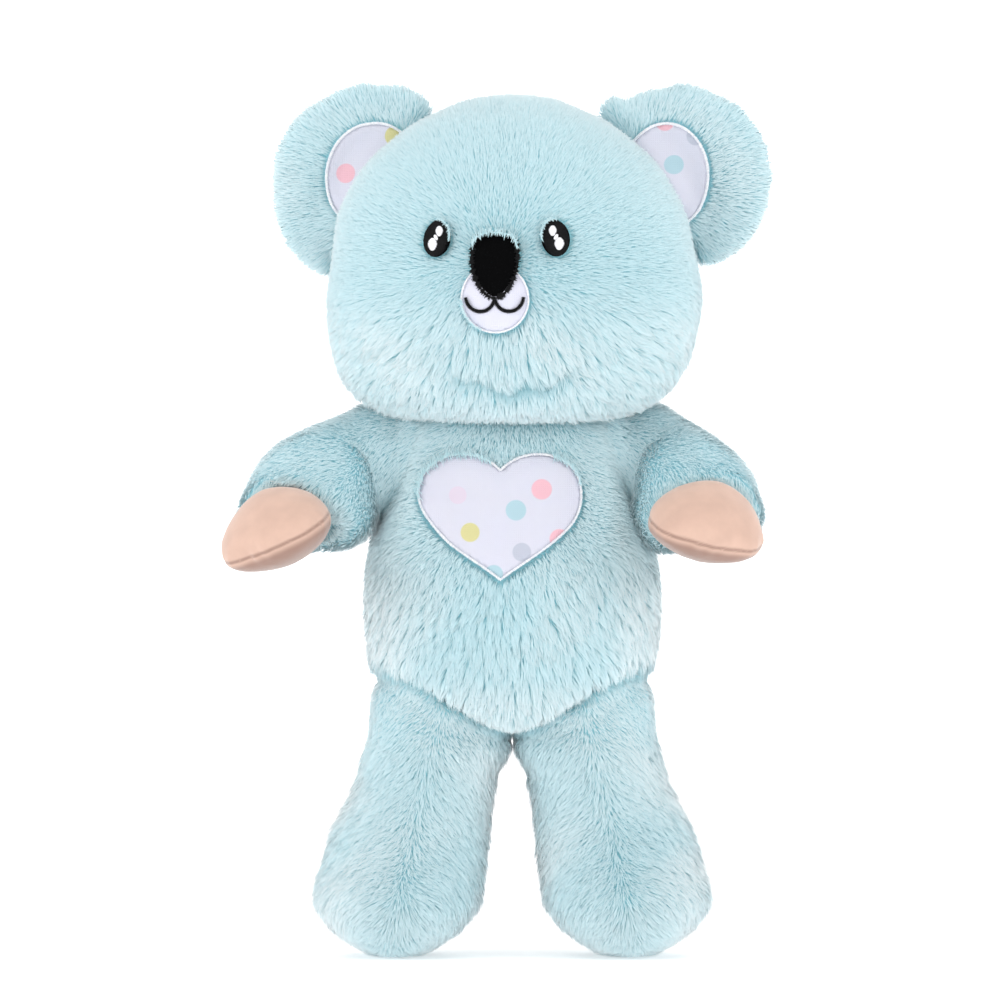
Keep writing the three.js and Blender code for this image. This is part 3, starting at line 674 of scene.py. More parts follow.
@dataclass
class StuffedForm:
    """A form of cloth round filling, made from the solids that it stands for."""

    name: str
    nodes: tuple[str, ...]
    inset: float = 1.6 * MM  # from the middle height of the pile to the backing
    voxel: float = 4 * MM
    hull: bool = False
    evening: int = 12
    swell: float = 3 * MM
    frames: int = 20  # of the cloth simulation
    extra: tuple[str, ...] = ()
    sole: bool = False
    seam: Field | None = None
    tuck: Field | None = None
    tucked: float = 6 * MM
    end: tuple[Vector, Vector] | None = None
    rounds: int = 1

    def outside(self) -> bpy.types.Object:
        """The form's outer surface as one closed mesh of even squares."""
        shape = bmesh.new()
        for node in self.nodes + self.extra:
            shape.from_mesh(frame["nodes"][node].data)
        bmesh.ops.remove_doubles(shape, verts=shape.verts, dist=1e-5)
        if self.hull:
            corners = [v.co.copy() for v in shape.verts]
            shape.clear()
            for corner in corners:
                shape.verts.new(corner)
            made = bmesh.ops.convex_hull(shape, input=shape.verts)
            inner = set(made["geom_interior"]) | set(made["geom_unused"])
            bmesh.ops.delete(
                shape, geom=[e for e in inner if isinstance(e, bmesh.types.BMVert)], context="VERTS"
            )
        mesh = bpy.data.meshes.new(self.name)
        shape.to_mesh(mesh)
        shape.free()
        self.solid = BVHTree.FromPolygons(
            [v.co[:] for v in mesh.vertices], [tuple(p.vertices) for p in mesh.polygons]
        )
        piece = linked(self.name, mesh)
        self.even_out(piece)
        if self.end is not None:
            self.cut_off(piece)
            self.even_out(piece)
        return piece

    def even_out(self, piece: bpy.types.Object) -> None:
        """Gives a piece even squares and rounded edges, and fills what is hollow in it."""
        even = piece.modifiers.new("even squares", "REMESH")
        even.mode, even.voxel_size = "VOXEL", self.voxel
        relax = piece.modifiers.new("relaxed", "SMOOTH")
        relax.factor, relax.iterations = 0.5, self.evening
        settle(piece)

    def cut_off(self, piece: bpy.types.Object) -> None:
        """Cuts the form off at its end plane and closes it there."""
        shape = bmesh.new()
        shape.from_mesh(piece.data)
        parts = shape.verts[:] + shape.edges[:] + shape.faces[:]
        place, way = self.end
        bmesh.ops.bisect_plane(shape, geom=parts, plane_co=place, plane_no=way, clear_outer=True)
        bmesh.ops.edgeloop_fill(shape, edges=[e for e in shape.edges if e.is_boundary])
        bmesh.ops.recalc_face_normals(shape, faces=shape.faces)
        shape.to_mesh(piece.data)
        shape.free()

    def build(self) -> bpy.types.Object:
        """Makes the stuffed skin: shrunk a little, swollen by its filling, and evened."""
        piece = self.outside()
        base = points_of(piece.data)
        normal = normals_of(piece.data)
        start = base - normal * (self.inset + self.swell * 0.5)
        if self.sole:
            start[:, 2] = np.maximum(start[:, 2], GROUND)
        move_points(piece.data, start)
        self.inflate(piece, start)
        self.fit(piece)
        rounder = piece.modifiers.new("rounder", "SUBSURF")
        rounder.levels = rounder.render_levels = self.rounds
        settle(piece)
        shade_smooth(piece.data)
        return piece

    def fit(self, piece: bpy.types.Object) -> None:
        """Brings the skin to its right depth under the solid's surface, and tucks its ends in.

        Args:
            piece: the skin.
        """
        points, normals = points_of(piece.data), normals_of(piece.data)
        offsets = np.empty(len(points))
        for i, (point, normal) in enumerate(zip(points, normals)):
            near = self.solid.find_nearest(Vector(point))[0]
            offsets[i] = (point - np.array(near)) @ normal
        depth = np.full(len(points), self.inset + np.clip(offsets, -6 * MM, 6 * MM).mean())
        if self.tuck is not None:
            share = self.tuck(points, normals)
            depth = depth * (1 - share) - self.tucked * share
        points -= normals * depth[:, None]
        if self.sole:
            points[:, 2] = np.maximum(points[:, 2], GROUND)
        move_points(piece.data, points)

    def inflate(self, piece: bpy.types.Object, start: np.ndarray) -> None:
        """Swells the skin with a cloth simulation, and caps how far each point moves.

        Args:
            piece: the skin, slightly too small.
            start: its points before.
        """
        held = np.zeros(len(start)) if self.seam is None else self.seam(start, normals_of(piece.data))
        if self.sole:
            held = np.maximum(held, smooth(start[:, 2], 5 * MM, 2 * MM))
        group = piece.vertex_groups.new(name="sewn")
        for i in np.nonzero(held > 0.02)[0]:
            group.add([int(i)], float(held[i]), "REPLACE")
        cloth = piece.modifiers.new("stuffed", "CLOTH")
        rules = cloth.settings
        rules.quality = 4
        rules.mass = 0.3
        rules.tension_stiffness = rules.compression_stiffness = 20
        rules.bending_stiffness = 2
        rules.vertex_group_mass = group.name
        rules.use_pressure = True
        rules.uniform_pressure_force = 4
        rules.effector_weights.gravity = 0
        scene = bpy.context.scene
        cloth.point_cache.frame_start, cloth.point_cache.frame_end = 1, self.frames
        for number in range(1, self.frames + 1):
            scene.frame_set(number)
        graph = bpy.context.evaluated_depsgraph_get()
        swollen = points_of(piece.evaluated_get(graph).data)
        piece.modifiers.clear()
        scene.frame_set(1)
        moved = swollen - start
        far = np.maximum(np.linalg.norm(moved, axis=1, keepdims=True), 1e-9)
        moved *= np.minimum(1, self.swell / far)
        ended = start + moved
        if self.sole:
            ended[:, 2] = np.maximum(ended[:, 2], GROUND)
        move_points(piece.data, ended)
        LOG.info("%s swelled by up to %.1f mm", self.name, 1000 * far.max())


class Growth:
    """Geometry nodes that turn a mesh into what grows on it or is sewn on it."""

    NAME = "growth"
    TAKES = "Mesh"
    MAKES = "Growth"
    INPUTS: tuple[tuple[str, str, object], ...] = ()

    def __init__(self) -> None:
        """Builds the tree once, for every piece."""
        tree = bpy.data.node_groups.new(self.NAME, "GeometryNodeTree")
        face = tree.interface
        face.new_socket(self.TAKES, in_out="INPUT", socket_type="NodeSocketGeometry")
        face.new_socket(self.MAKES, in_out="OUTPUT", socket_type="NodeSocketGeometry")
        self.keys: dict[str, str] = {}
        for name, kind, start in self.INPUTS:
            made = face.new_socket(name, in_out="INPUT", socket_type=kind)
            if start is not None:
                made.default_value = start
            self.keys[name] = made.identifier
        self.graph = Graph(tree)
        self.given = tree.nodes.new("NodeGroupInput").outputs
        grown = {"Geometry": self.grown(), "Material": self.given["Material"]}
        self.graph.add("NodeGroupOutput", {0: self.graph.add("GeometryNodeSetMaterial", grown).outputs[0]})

    def grown(self) -> Socket:
        """What the tree makes of its mesh."""
        raise NotImplementedError

    def apply(self, piece: bpy.types.Object, sizes: dict[str, object]) -> None:
        """Makes a piece what grows on it.

        Args:
            piece: the piece.
            sizes: the tree's inputs that differ, with an underscore for each space.
        """
        growth = piece.modifiers.new(self.NAME, "NODES")
        growth.node_group = self.graph.tree
        for key, value in sizes.items():
            growth[self.keys[key.replace("_", " ")]] = value
        settle(piece)
        clothe(piece.data, sizes["Material"])


class PileTree(Growth):
    """Strands of pile on a skin, in tufts, round sewn-on patches."""

    NAME, TAKES, MAKES = "pile growth", "Skin", "Pile"
    INPUTS = (
        ("Strands per square metre", "NodeSocketFloat", 2.6e6),
        ("Pile length", "NodeSocketFloat", 9 * MM),
        ("Strand width", "NodeSocketFloat", 0.42 * MM),
        ("Tuft size", "NodeSocketFloat", 4.8 * MM),
        ("Tuft pull", "NodeSocketFloat", 0.48),
        ("Stray", "NodeSocketFloat", 0.22),
        ("Mask", "NodeSocketString", "grow"),
        ("Patches", "NodeSocketObject", None),
        ("Over patches", "NodeSocketFloat", 1.2 * MM),
        ("Lowest", "NodeSocketFloat", 0.3 * MM),
        ("Seed", "NodeSocketInt", 1),
        ("Material", "NodeSocketMaterial", None),
    )
    # What a finished strand keeps: its colours' attributes, its baking map, its shape.
    KEPT = {"along", "tint", "frost", "deep", "OFBake", "position", "custom_normal"}
    TURNS = (-28, 3, 32)  # degrees that the flat sides of the three strands are turned
    THINNING = 0.9  # the share of its width that a strand has lost at its tip
    FORWARD = 0.75  # the share of its length that a strand reaches forward
    WELDED = 0.08 * MM
    NEAR_PATCH = 25 * MM
    UNDER_PATCH = 1.0 * MM

    def blades(self) -> Socket:
        """Three strands that rise and bend over, with their flat sides turned three ways."""
        graph, given = self.graph, self.given
        size = {"Size X": 1.0, "Size Y": 1.0, "Vertices X": 2, "Vertices Y": 3}
        strip = graph.add("GeometryNodeMeshGrid", size).outputs["Mesh"]
        at = graph.separate(graph.position())
        along, aside = graph.math("ADD", at["Y"], 0.5), graph.math("ADD", at["X"], 0.5)
        marked = graph.store(strip, "along", along)
        marked = graph.store(marked, "cell", graph.combine(aside, along), "FLOAT_VECTOR", "CORNER")
        # The strand's width shrinks with the cube of the share along it.
        thin = graph.math("MULTIPLY_ADD", graph.math("POWER", along, 3.0), -self.THINNING, 1.0)
        width = graph.math("MULTIPLY", graph.math("MULTIPLY", at["X"], given["Strand width"]), thin)
        # It leaves the cloth steeply and ends nearly level: both curves are parabolas.
        reach = graph.math("MULTIPLY_ADD", along, 0.3, 0.45)
        rise = graph.math("MULTIPLY_ADD", along, -0.42, 0.95)
        grown = graph.math("MULTIPLY", along, given["Pile length"])
        curve = graph.vector("SCALE", graph.combine(0.0, reach, rise), grown)
        picks = graph.add("GeometryNodeJoinGeometry")
        for degrees in self.TURNS:
            turn = math.radians(degrees)
            flat = graph.vector("SCALE", (math.cos(turn), 0, math.sin(turn)), width)
            place = {"Geometry": marked, "Position": graph.vector("ADD", flat, curve)}
            bent = graph.add("GeometryNodeSetPosition", place).outputs[0]
            joined = graph.add("GeometryNodeMergeByDistance", {"Geometry": bent, "Distance": self.WELDED})
            one = graph.add("GeometryNodeGeometryToInstance", {0: joined.outputs[0]}).outputs[0]
            graph.tree.links.new(one, picks.inputs[0])
        return picks.outputs[0]

    def spread(self) -> dict[str, Socket]:
        """The roots of the strands, with the way, the length and the tint of each."""
        graph, given = self.graph, self.given
        dense = graph.math("MULTIPLY", graph.stored(given["Mask"]), given["Strands per square metre"])
        field_of = {"Mesh": given["Skin"], "Density": dense, "Seed": given["Seed"]}
        roots = graph.add(
            "GeometryNodeDistributePointsOnFaces", field_of, distribute_method="RANDOM"
        ).outputs
        root, normal = graph.position(), roots["Normal"]
        pile, lean, tufty = (graph.stored(name) for name in ("pile", "lean", "tufty"))
        # Tufts: each strand leans towards the middle of its cell.
        scaled = graph.vector("DIVIDE", root, given["Tuft size"])
        cells = graph.add(
            "ShaderNodeTexVoronoi", {"Vector": scaled, "Scale": 1.0}, voronoi_dimensions="3D"
        ).outputs
        inward = graph.vector("SUBTRACT", cells["Position"], scaled)
        pulled = graph.vector("SCALE", inward, graph.math("MULTIPLY", tufty, given["Tuft pull"]))
        stray = graph.random((-1, -1, -1), (1, 1, 1), 11, "FLOAT_VECTOR")
        strayed = graph.vector("SCALE", stray, given["Stray"])
        ruffled = graph.vector("SUBTRACT", graph.noise(root, 45.0, 1.0)["Color"], (0.5, 0.5, 0.5))
        way = graph.stored("lay", "FLOAT_VECTOR")
        for part in (pulled, strayed, ruffled):
            way = graph.vector("ADD", way, part)
        shorter, kept = self.round_patches(root, normal, way)
        length = graph.random(0.72, 1.12, 12)
        for part in (pile, shorter):
            length = graph.math("MULTIPLY", length, part)
        tuft = graph.separate(cells["Color"])[0]
        lift = graph.math("MULTIPLY_ADD", graph.ranged(tuft, -0.2, 0.1), tufty, 1.0)
        # A flat strand reaches farther along the cloth, an upright one stands higher over it.
        flat, high = graph.ranged(lean, 0.4, 1.0), graph.ranged(lean, 1.2, 0.85)
        rise = length
        for part in (lift, graph.random(0.85, 1.15, 13), high):
            rise = graph.math("MULTIPLY", rise, part)
        # The fibres of a tuft catch light as one rounded lock that stands out of the cloth.
        facing = graph.vector("SCALE", inward, graph.math("MULTIPLY", tufty, -0.55))
        for part in (normal, graph.vector("SCALE", stray, 0.07)):
            facing = graph.vector("ADD", facing, part)
        lock = graph.math("MULTIPLY", tuft, tufty)
        tint = graph.math("ADD", lock, graph.random(0.0, 1.0, 14))
        return {
            "roots": roots["Points"],
            "turned": graph.turned(normal, way),
            "size": graph.combine(1.0, graph.math("MULTIPLY", length, flat), rise),
            "kept": kept,
            "tint": graph.math("MULTIPLY", tint, 0.5),
            "facing": graph.vector("NORMALIZE", facing),
        }

    def round_patches(self, root: Socket, normal: Socket, way: Socket) -> tuple[Socket, Socket]:
        """Keeps strands off sewn-on patches, and shortens those that would fall over one.

        Args:
            root: where each strand stands.
            normal: the skin's normal there.
            way: the way that the strand lies.

        Returns:
            The share of its length that a strand keeps, and whether it grows at all.
        """
        graph, given = self.graph, self.given
        patches = graph.add("GeometryNodeObjectInfo", {"Object": given["Patches"]}).outputs["Geometry"]
        near = graph.add(
            "GeometryNodeProximity", {0: patches, "Sample Position": root}, target_element="FACES"
        ).outputs
        apart = graph.vector("SUBTRACT", near["Position"], root)
        above = graph.vector("DOT_PRODUCT", apart, normal)
        level = graph.vector("SUBTRACT", apart, graph.vector("SCALE", normal, above))
        clear = graph.vector("LENGTH", level)
        ahead, onward = (graph.vector("NORMALIZE", each) for each in (level, way))
        toward = graph.math("MAXIMUM", graph.vector("DOT_PRODUCT", ahead, onward), 0.15)
        room = graph.math("ADD", graph.math("DIVIDE", clear, toward), given["Over patches"])
        share = graph.math("DIVIDE", room, graph.math("MULTIPLY", given["Pile length"], self.FORWARD))
        share = graph.add("ShaderNodeClamp", {"Value": share, "Min": 0.3, "Max": 1.0}).outputs[0]
        matters = graph.compare(above, "GREATER_THAN", 0.5 * MM)
        for part in (graph.compare(near["Distance"], "LESS_THAN", self.NEAR_PATCH), near["Is Valid"]):
            matters = graph.logic("AND", matters, part)
        cases = {"Switch": matters, "False": 1.0, "True": share}
        shorter = graph.add("GeometryNodeSwitch", cases, input_type="FLOAT").outputs[0]
        covered = graph.logic("AND", matters, graph.compare(clear, "LESS_THAN", self.UNDER_PATCH))
        return shorter, graph.logic("NOT", covered)

    def grown(self) -> Socket:
        """Plants a strand on each root, and gives each its own cell of the baking map."""
        graph, roots, blades = self.graph, self.spread(), self.blades()
        marked = graph.store(roots["roots"], "tint", roots["tint"])
        marked = graph.store(marked, "strand", graph.add("GeometryNodeInputIndex").outputs[0])
        marked = graph.store(marked, "facing", roots["facing"], "FLOAT_VECTOR")
        planted = graph.add("GeometryNodeInstanceOnPoints", {
            "Points": marked,
            "Selection": roots["kept"],
            "Instance": blades,
            "Pick Instance": True,
            "Instance Index": graph.random(0, 2, 15, "INT"),
            "Rotation": roots["turned"],
            "Scale": roots["size"],
        }).outputs[0]
        real = graph.add("GeometryNodeRealizeInstances", {0: planted}).outputs[0]
        at = graph.separate(graph.position())
        place = graph.combine(at["X"], at["Y"], graph.math("MAXIMUM", at["Z"], self.given["Lowest"]))
        real = graph.add("GeometryNodeSetPosition", {"Geometry": real, "Position": place}).outputs[0]
        count = graph.add(
            "GeometryNodeAttributeDomainSize", {0: marked}, component="POINTCLOUD"
        ).outputs["Point Count"]
        across = graph.math("CEIL", graph.math("SQRT", count))
        strand = graph.math("ADD", graph.stored("strand"), 0.5)
        row, column = (
            graph.math("FLOOR", graph.math(part, strand, across)) for part in ("DIVIDE", "MODULO")
        )
        # A strand uses the middle 0.7 of its cell, so that its neighbours don't bleed into it.
        cell = graph.stored("cell", "FLOAT_VECTOR")
        within = graph.vector("MULTIPLY_ADD", cell, (0.7, 0.7, 0), (0.15, 0.15, 0))
        spot = graph.vector("DIVIDE", graph.vector("ADD", within, graph.combine(column, row)), across)
        mapped = graph.store(real, "OFBake", spot, "FLOAT2", "CORNER")
        facing = {"Mesh": mapped, "Custom Normal": graph.stored("facing", "FLOAT_VECTOR")}
        return graph.add("GeometryNodeSetMeshNormal", facing, mode="FREE", domain="POINT").outputs[0]

    def grow(self, skin: bpy.types.Object, name: str, **sizes: object) -> bpy.types.Object:
        """Grows the pile of one skin, or of the part that a mask names.

        Args:
            skin: the skin, with its lay, its pile's share of length, its whitish tips with painted sheen,
                and its masks.
            name: the new piece's name.
            sizes: the tree's inputs that differ, with an underscore for each space.

        Returns:
            The strands as one plain mesh.
        """
        piece = linked(name, skin.data.copy())
        self.apply(piece, sizes)
        drop(piece.data, lambda a: not (a.name in self.KEPT or a.is_internal or a.is_required))
        # Thin fibres let light through, so the skin under the pile casts its shadow.
        piece.visible_shadow = False
        LOG.info("%s: %d faces", name, len(piece.data.polygons))
        return piece


class StitchTree(Growth):
    """Satin stitch: one plump thread across each point of a row."""

    NAME, TAKES, MAKES = "satin stitch", "Row", "Stitches"
    INPUTS = (
        ("Thread", "NodeSocketFloat", 0.5 * MM),
        ("Unevenness", "NodeSocketFloat", 0.08),
        ("Seed", "NodeSocketInt", 1),
        ("Material", "NodeSocketMaterial", None),
    )

    def grown(self) -> Socket:
        """Lays a thread on each point, with its own length and tint."""
        graph, given = self.graph, self.given
        points = graph.add("GeometryNodeMeshToPoints", {0: given["Row"]}).outputs[0]
        across, up = (graph.stored(name, "FLOAT_VECTOR") for name in ("across", "up"))
        least, most = (graph.math(sign, 1.0, given["Unevenness"]) for sign in ("SUBTRACT", "ADD"))
        long = graph.math("MULTIPLY", graph.stored("half"), graph.random(least, most, given["Seed"]))
        thick = graph.math("MULTIPLY", given["Thread"], 0.5)
        ball = {"Segments": 6, "Rings": 5, "Radius": 1.0}
        plump = graph.add("GeometryNodeMeshUVSphere", ball).outputs["Mesh"]
        laid = graph.add("GeometryNodeInstanceOnPoints", {
            "Points": graph.store(points, "tint", graph.random(0.0, 1.0, 7)),
            "Instance": graph.add("GeometryNodeSetShadeSmooth", {"Geometry": plump}).outputs[0],
            "Rotation": graph.turned(across, up),
            "Scale": graph.combine(thick, thick, long),
        }).outputs[0]
        return graph.add("GeometryNodeRealizeInstances", {0: laid}).outputs[0]

    def sew(self, name: str, rows: Iterable["Row"], **sizes: object) -> bpy.types.Object:
        """Sews rows of stitches as one piece.

        Args:
            name: the new piece's name.
            rows: the rows.
            sizes: the tree's inputs that differ.

        Returns:
            The stitches as one plain mesh.
        """
        stitches = [s for row in rows for s in row]
        mesh = bpy.data.meshes.new(name)
        mesh.from_pydata([s.place for s in stitches], [], [])
        parts = ("across", "up", "half")
        for part in parts:
            give(mesh, part, np.array([getattr(s, part) for s in stitches]))
        piece = linked(name, mesh)
        self.apply(piece, sizes)
        drop(piece.data, lambda a: a.name in parts)
        LOG.info("%s: %d stitches", name, len(stitches))
        return piece


@dataclass(frozen=True)
class Stitch:
    """One thread of satin stitch."""

    place: Vector
    across: Vector
    up: Vector
    half: float


Row = list[Stitch]


def walked(outline: Outline, spacing: float, closed: bool = True) -> Outline:
    """Puts points along an outline at even steps.

    Args:
        outline: the corners.
        spacing: about how long a step is.
        closed: whether the last corner joins the first.

    Returns:
        The evenly spaced points.
    """
    corners = np.array(outline + outline[:1] if closed else outline)
    legs = np.linalg.norm(np.diff(corners, axis=0), axis=1)
    reached = np.concatenate([[0], np.cumsum(legs)])
    count = max(3, round(reached[-1] / spacing))
    stops = np.linspace(0, reached[-1], count, endpoint=not closed)
    return list(zip(*(np.interp(stops, reached, corners[:, axis]) for axis in (0, 1))))


def bezier(*corners: tuple[float, float], steps: int = 24) -> Outline:
    """Points along a cubic curve, without its last one.

    Args:
        corners: its two ends, with the two handles between them.
        steps: how many points.

    Returns:
        The points.
    """
    p = np.array(corners)
    t = np.linspace(0, 1, steps, endpoint=False)[:, None]
    made = (1 - t) ** 3 * p[0] + 3 * (1 - t) ** 2 * t * p[1] + 3 * (1 - t) * t**2 * p[2] + t**3 * p[3]
    return [tuple(row) for row in made]


OVAL_POINTS = 48


def oval(x: float, z: float, half_width: float, half_height: float, lean: float = 0.0) -> Outline:
    """An ellipse whose top leans towards -X by some degrees.

    Args:
        x: its middle.
        z: its middle.
        half_width: half its width.
        half_height: half its height.
        lean: the lean in degrees.

    Returns:
        Its points, anticlockwise.
    """
    cos, sin = math.cos(math.radians(lean)), math.sin(math.radians(lean))
    points = []
    for k in range(OVAL_POINTS):
        angle = math.tau * k / OVAL_POINTS
        a, b = half_width * math.cos(angle), half_height * math.sin(angle)
        points.append((x + a * cos - b * sin, z + a * sin + b * cos))
    return points


@dataclass
class Patch:
    """A piece of cloth sewn on a skin, seen from its front."""

    name: str
    outline: Outline
    place: Matrix
    surface: Surface
    lift: float = 3.2 * MM
    crown: float = 0.8 * MM  # its middle stands higher than its edge by this
    crown_reach: float = 7 * MM
    edge_drop: float = 0.4 * MM
    grain: float = 2.2 * MM

    def edge_distance(self, spots: np.ndarray) -> np.ndarray:
        """How far points of the patch are from its edge.

        Args:
            spots: rows of x and z.

        Returns:
            One distance for each row.
        """
        a = np.array(self.outline)
        b = np.roll(a, -1, axis=0)
        way = b - a
        along = np.einsum("ijk,jk->ij", spots[:, None] - a[None], way)
        t = along / np.maximum((way**2).sum(1), 1e-12)
        near = a[None] + np.clip(t, 0, 1)[..., None] * way[None]
        return np.linalg.norm(spots[:, None] - near, axis=2).min(axis=1)

    def inside(self, spots: np.ndarray) -> np.ndarray:
        """Whether points are within the outline, for rows of x and z."""
        a = np.array(self.outline)
        b = np.roll(a, -1, axis=0)
        x, z = spots[:, 0:1], spots[:, 1:2]
        crossing = (a[:, 1] > z) != (b[:, 1] > z)
        rise = np.where(b[:, 1] == a[:, 1], 1e-12, b[:, 1] - a[:, 1])
        at = a[:, 0] + (z - a[:, 1]) * (b[:, 0] - a[:, 0]) / rise
        return (crossing & (x < at)).sum(axis=1) % 2 == 1

    def build(self, material: bpy.types.Material, thick: float = 0.9 * MM) -> bpy.types.Object:
        """Cuts the cloth to its outline and lays it on the skin.

        Args:
            material: the cloth's material.
            thick: its thickness.

        Returns:
            The patch as a closed mesh.
        """
        rim = walked(self.outline, self.grain * 0.6)
        corners = np.array(rim)
        low, high = corners.min(axis=0), corners.max(axis=0)
        xs = np.arange(low[0], high[0], self.grain)
        zs = np.arange(low[1], high[1], self.grain * 0.87)
        grid = np.array([(x + (i % 2) * self.grain / 2, z) for i, z in enumerate(zs) for x in xs])
        grid = grid[self.inside(grid)]
        grid = grid[self.edge_distance(grid) > self.grain * 0.4]
        spots = np.vstack([corners, grid])
        loop = [(i, (i + 1) % len(rim)) for i in range(len(rim))]
        made = geometry.delaunay_2d_cdt([Vector(s) for s in spots], loop, [], 1, 1e-7)
        flat = np.array([tuple(v) for v in made[0]])
        edge = self.edge_distance(flat)
        crown = self.crown * smooth(edge, 0, self.crown_reach)
        lifts = self.lift + crown - self.edge_drop * smooth(edge, 1.2 * MM, 0)
        points = [self.surface.at(self.place, u, v, h)[0] for (u, v), h in zip(flat, lifts)]
        mesh = bpy.data.meshes.new(self.name)
        mesh.from_pydata(points, [], [tuple(f) for f in made[2]])
        shape = bmesh.new()
        shape.from_mesh(mesh)
        way = self.place.to_3x3() @ Vector((0, -1, 0))
        shape.normal_update()
        if sum(f.normal.dot(way) * f.calc_area() for f in shape.faces) < 0:
            bmesh.ops.reverse_faces(shape, faces=shape.faces)
        shape.to_mesh(mesh)
        shape.free()
        piece = linked(self.name, mesh)
        wall = piece.modifiers.new("cloth", "SOLIDIFY")
        wall.thickness, wall.offset = thick, -1
        settle(piece)
        shade_smooth(piece.data)
        piece.data.materials.append(material)
        return piece

    def border(self, half: float, spacing: float, over: float, slant: float = 0.25) -> Row:
        """A row of satin stitch round the patch.

        Args:
            half: half the length of a stitch.
            spacing: from stitch to stitch.
            over: how far the thread is over the patch's edge.
            slant: how far a stitch leans along the row, as a share of its length.

        Returns:
            The row.
        """
        return self.line(walked(self.outline, spacing), half, over, slant, closed=True)

    def fringe(
        self, along: Callable[[float, float], bool], way: float, length: float, over: float, seed: int
    ) -> Row:
        """Strands of the pile beside the patch that fall over a part of its edge.

        Args:
            along: whether strands fall over the edge at a spot.
            way: the way that they fall, in degrees from straight down, towards +X.
            length: the longest strand's length.
            over: how far they are over the patch's edge height.
            seed: which random draw is used.

        Returns:
            The strands, laid as stitches are.
        """
        draw = np.random.default_rng(seed)
        row: Row = []
        for u, v in walked(self.outline, 0.22 * MM):
            if not along(u, v):
                continue
            size = length * draw.uniform(0.45, 1.0)
            turn = math.radians(way) + draw.normal(0, 0.3)
            step = Vector((math.sin(turn), -math.cos(turn)))
            start = size * draw.uniform(-0.35, 0.2)
            lift = self.lift + over + draw.uniform(0, 0.5 * MM)
            (place, up), (ahead, _) = (
                self.surface.at(self.place, u + step.x * far, v + step.y * far, lift)
                for far in (start, start + MM)
            )
            row.append(Stitch(place, (ahead - place).normalized(), up, size / 2))
        return row

    def line(
        self, spots: Outline, half: float, over: float, slant: float = 0.0, closed: bool = False
    ) -> Row:
        """A row of satin stitch along a line on the patch.

        Args:
            spots: the line's points, one to a stitch.
            half: half the length of a stitch.
            over: how far the thread is over the patch's edge height.
            slant: how far a stitch leans along the row.
            closed: whether the line comes back to its start.

        Returns:
            The row.
        """
        row: Row = []
        count = len(spots)
        for i, (u, v) in enumerate(spots):
            ahead = spots[(i + 1) % count] if closed else spots[min(i + 1, count - 1)]
            behind = spots[i - 1] if closed or i else spots[0]
            place, up = self.surface.at(self.place, u, v, self.lift + over)
            along = self.surface.at(self.place, *ahead, self.lift + over)[0]
            along = (along - self.surface.at(self.place, *behind, self.lift + over)[0]).normalized()
            across = (along.cross(up) + along * slant).normalized()
            row.append(Stitch(place, across, up, half))
        return row

    def fill(
        self, x: float, z: float, half_width: float, half_height: float, lean: float, over: float,
        spacing: float = 0.42 * MM,
    ) -> Row:
        """Stitches that fill an ellipse from side to side.

        Args:
            x: the ellipse's middle.
            z: the ellipse's middle.
            half_width: half its width.
            half_height: half its height.
            lean: how far its top leans towards -X, in degrees.
            over: how far the threads are over the patch's edge height.
            spacing: from stitch to stitch.

        Returns:
            The row.
        """
        cos, sin = math.cos(math.radians(lean)), math.sin(math.radians(lean))
        row: Row = []
        count = round(2 * half_height / spacing)
        for k in range(count):
            b = half_height * (2 * (k + 0.5) / count - 1)
            half = half_width * math.sqrt(1 - (b / half_height) ** 2)
            u, v = x - b * sin, z + b * cos
            place, up = self.surface.at(self.place, u, v, self.lift + over)
            right = self.surface.at(self.place, u + MM * cos, v + MM * sin, self.lift + over)[0]
            row.append(Stitch(place, (right - place).normalized(), up, half + 0.15 * MM))
        return row


def finish_piece(
    piece: bpy.types.Object, body: str, nodes: Sequence[str] = ()
) -> None:
    """Tells the frame what a finished piece rides on and stands for.

    Args:
        piece: the piece.
        body: the body that it moves with.
        nodes: the solids that it stands for.
    """
    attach(piece, body)
    if nodes:
        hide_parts(*nodes)
    LOG.info("%s rides on %s", piece.name, body)


# What only the growth of the pile needs of a skin's attributes.
GROWING = ("lay", "pile", "frost", "lean", "tufty", "grow", "deep")


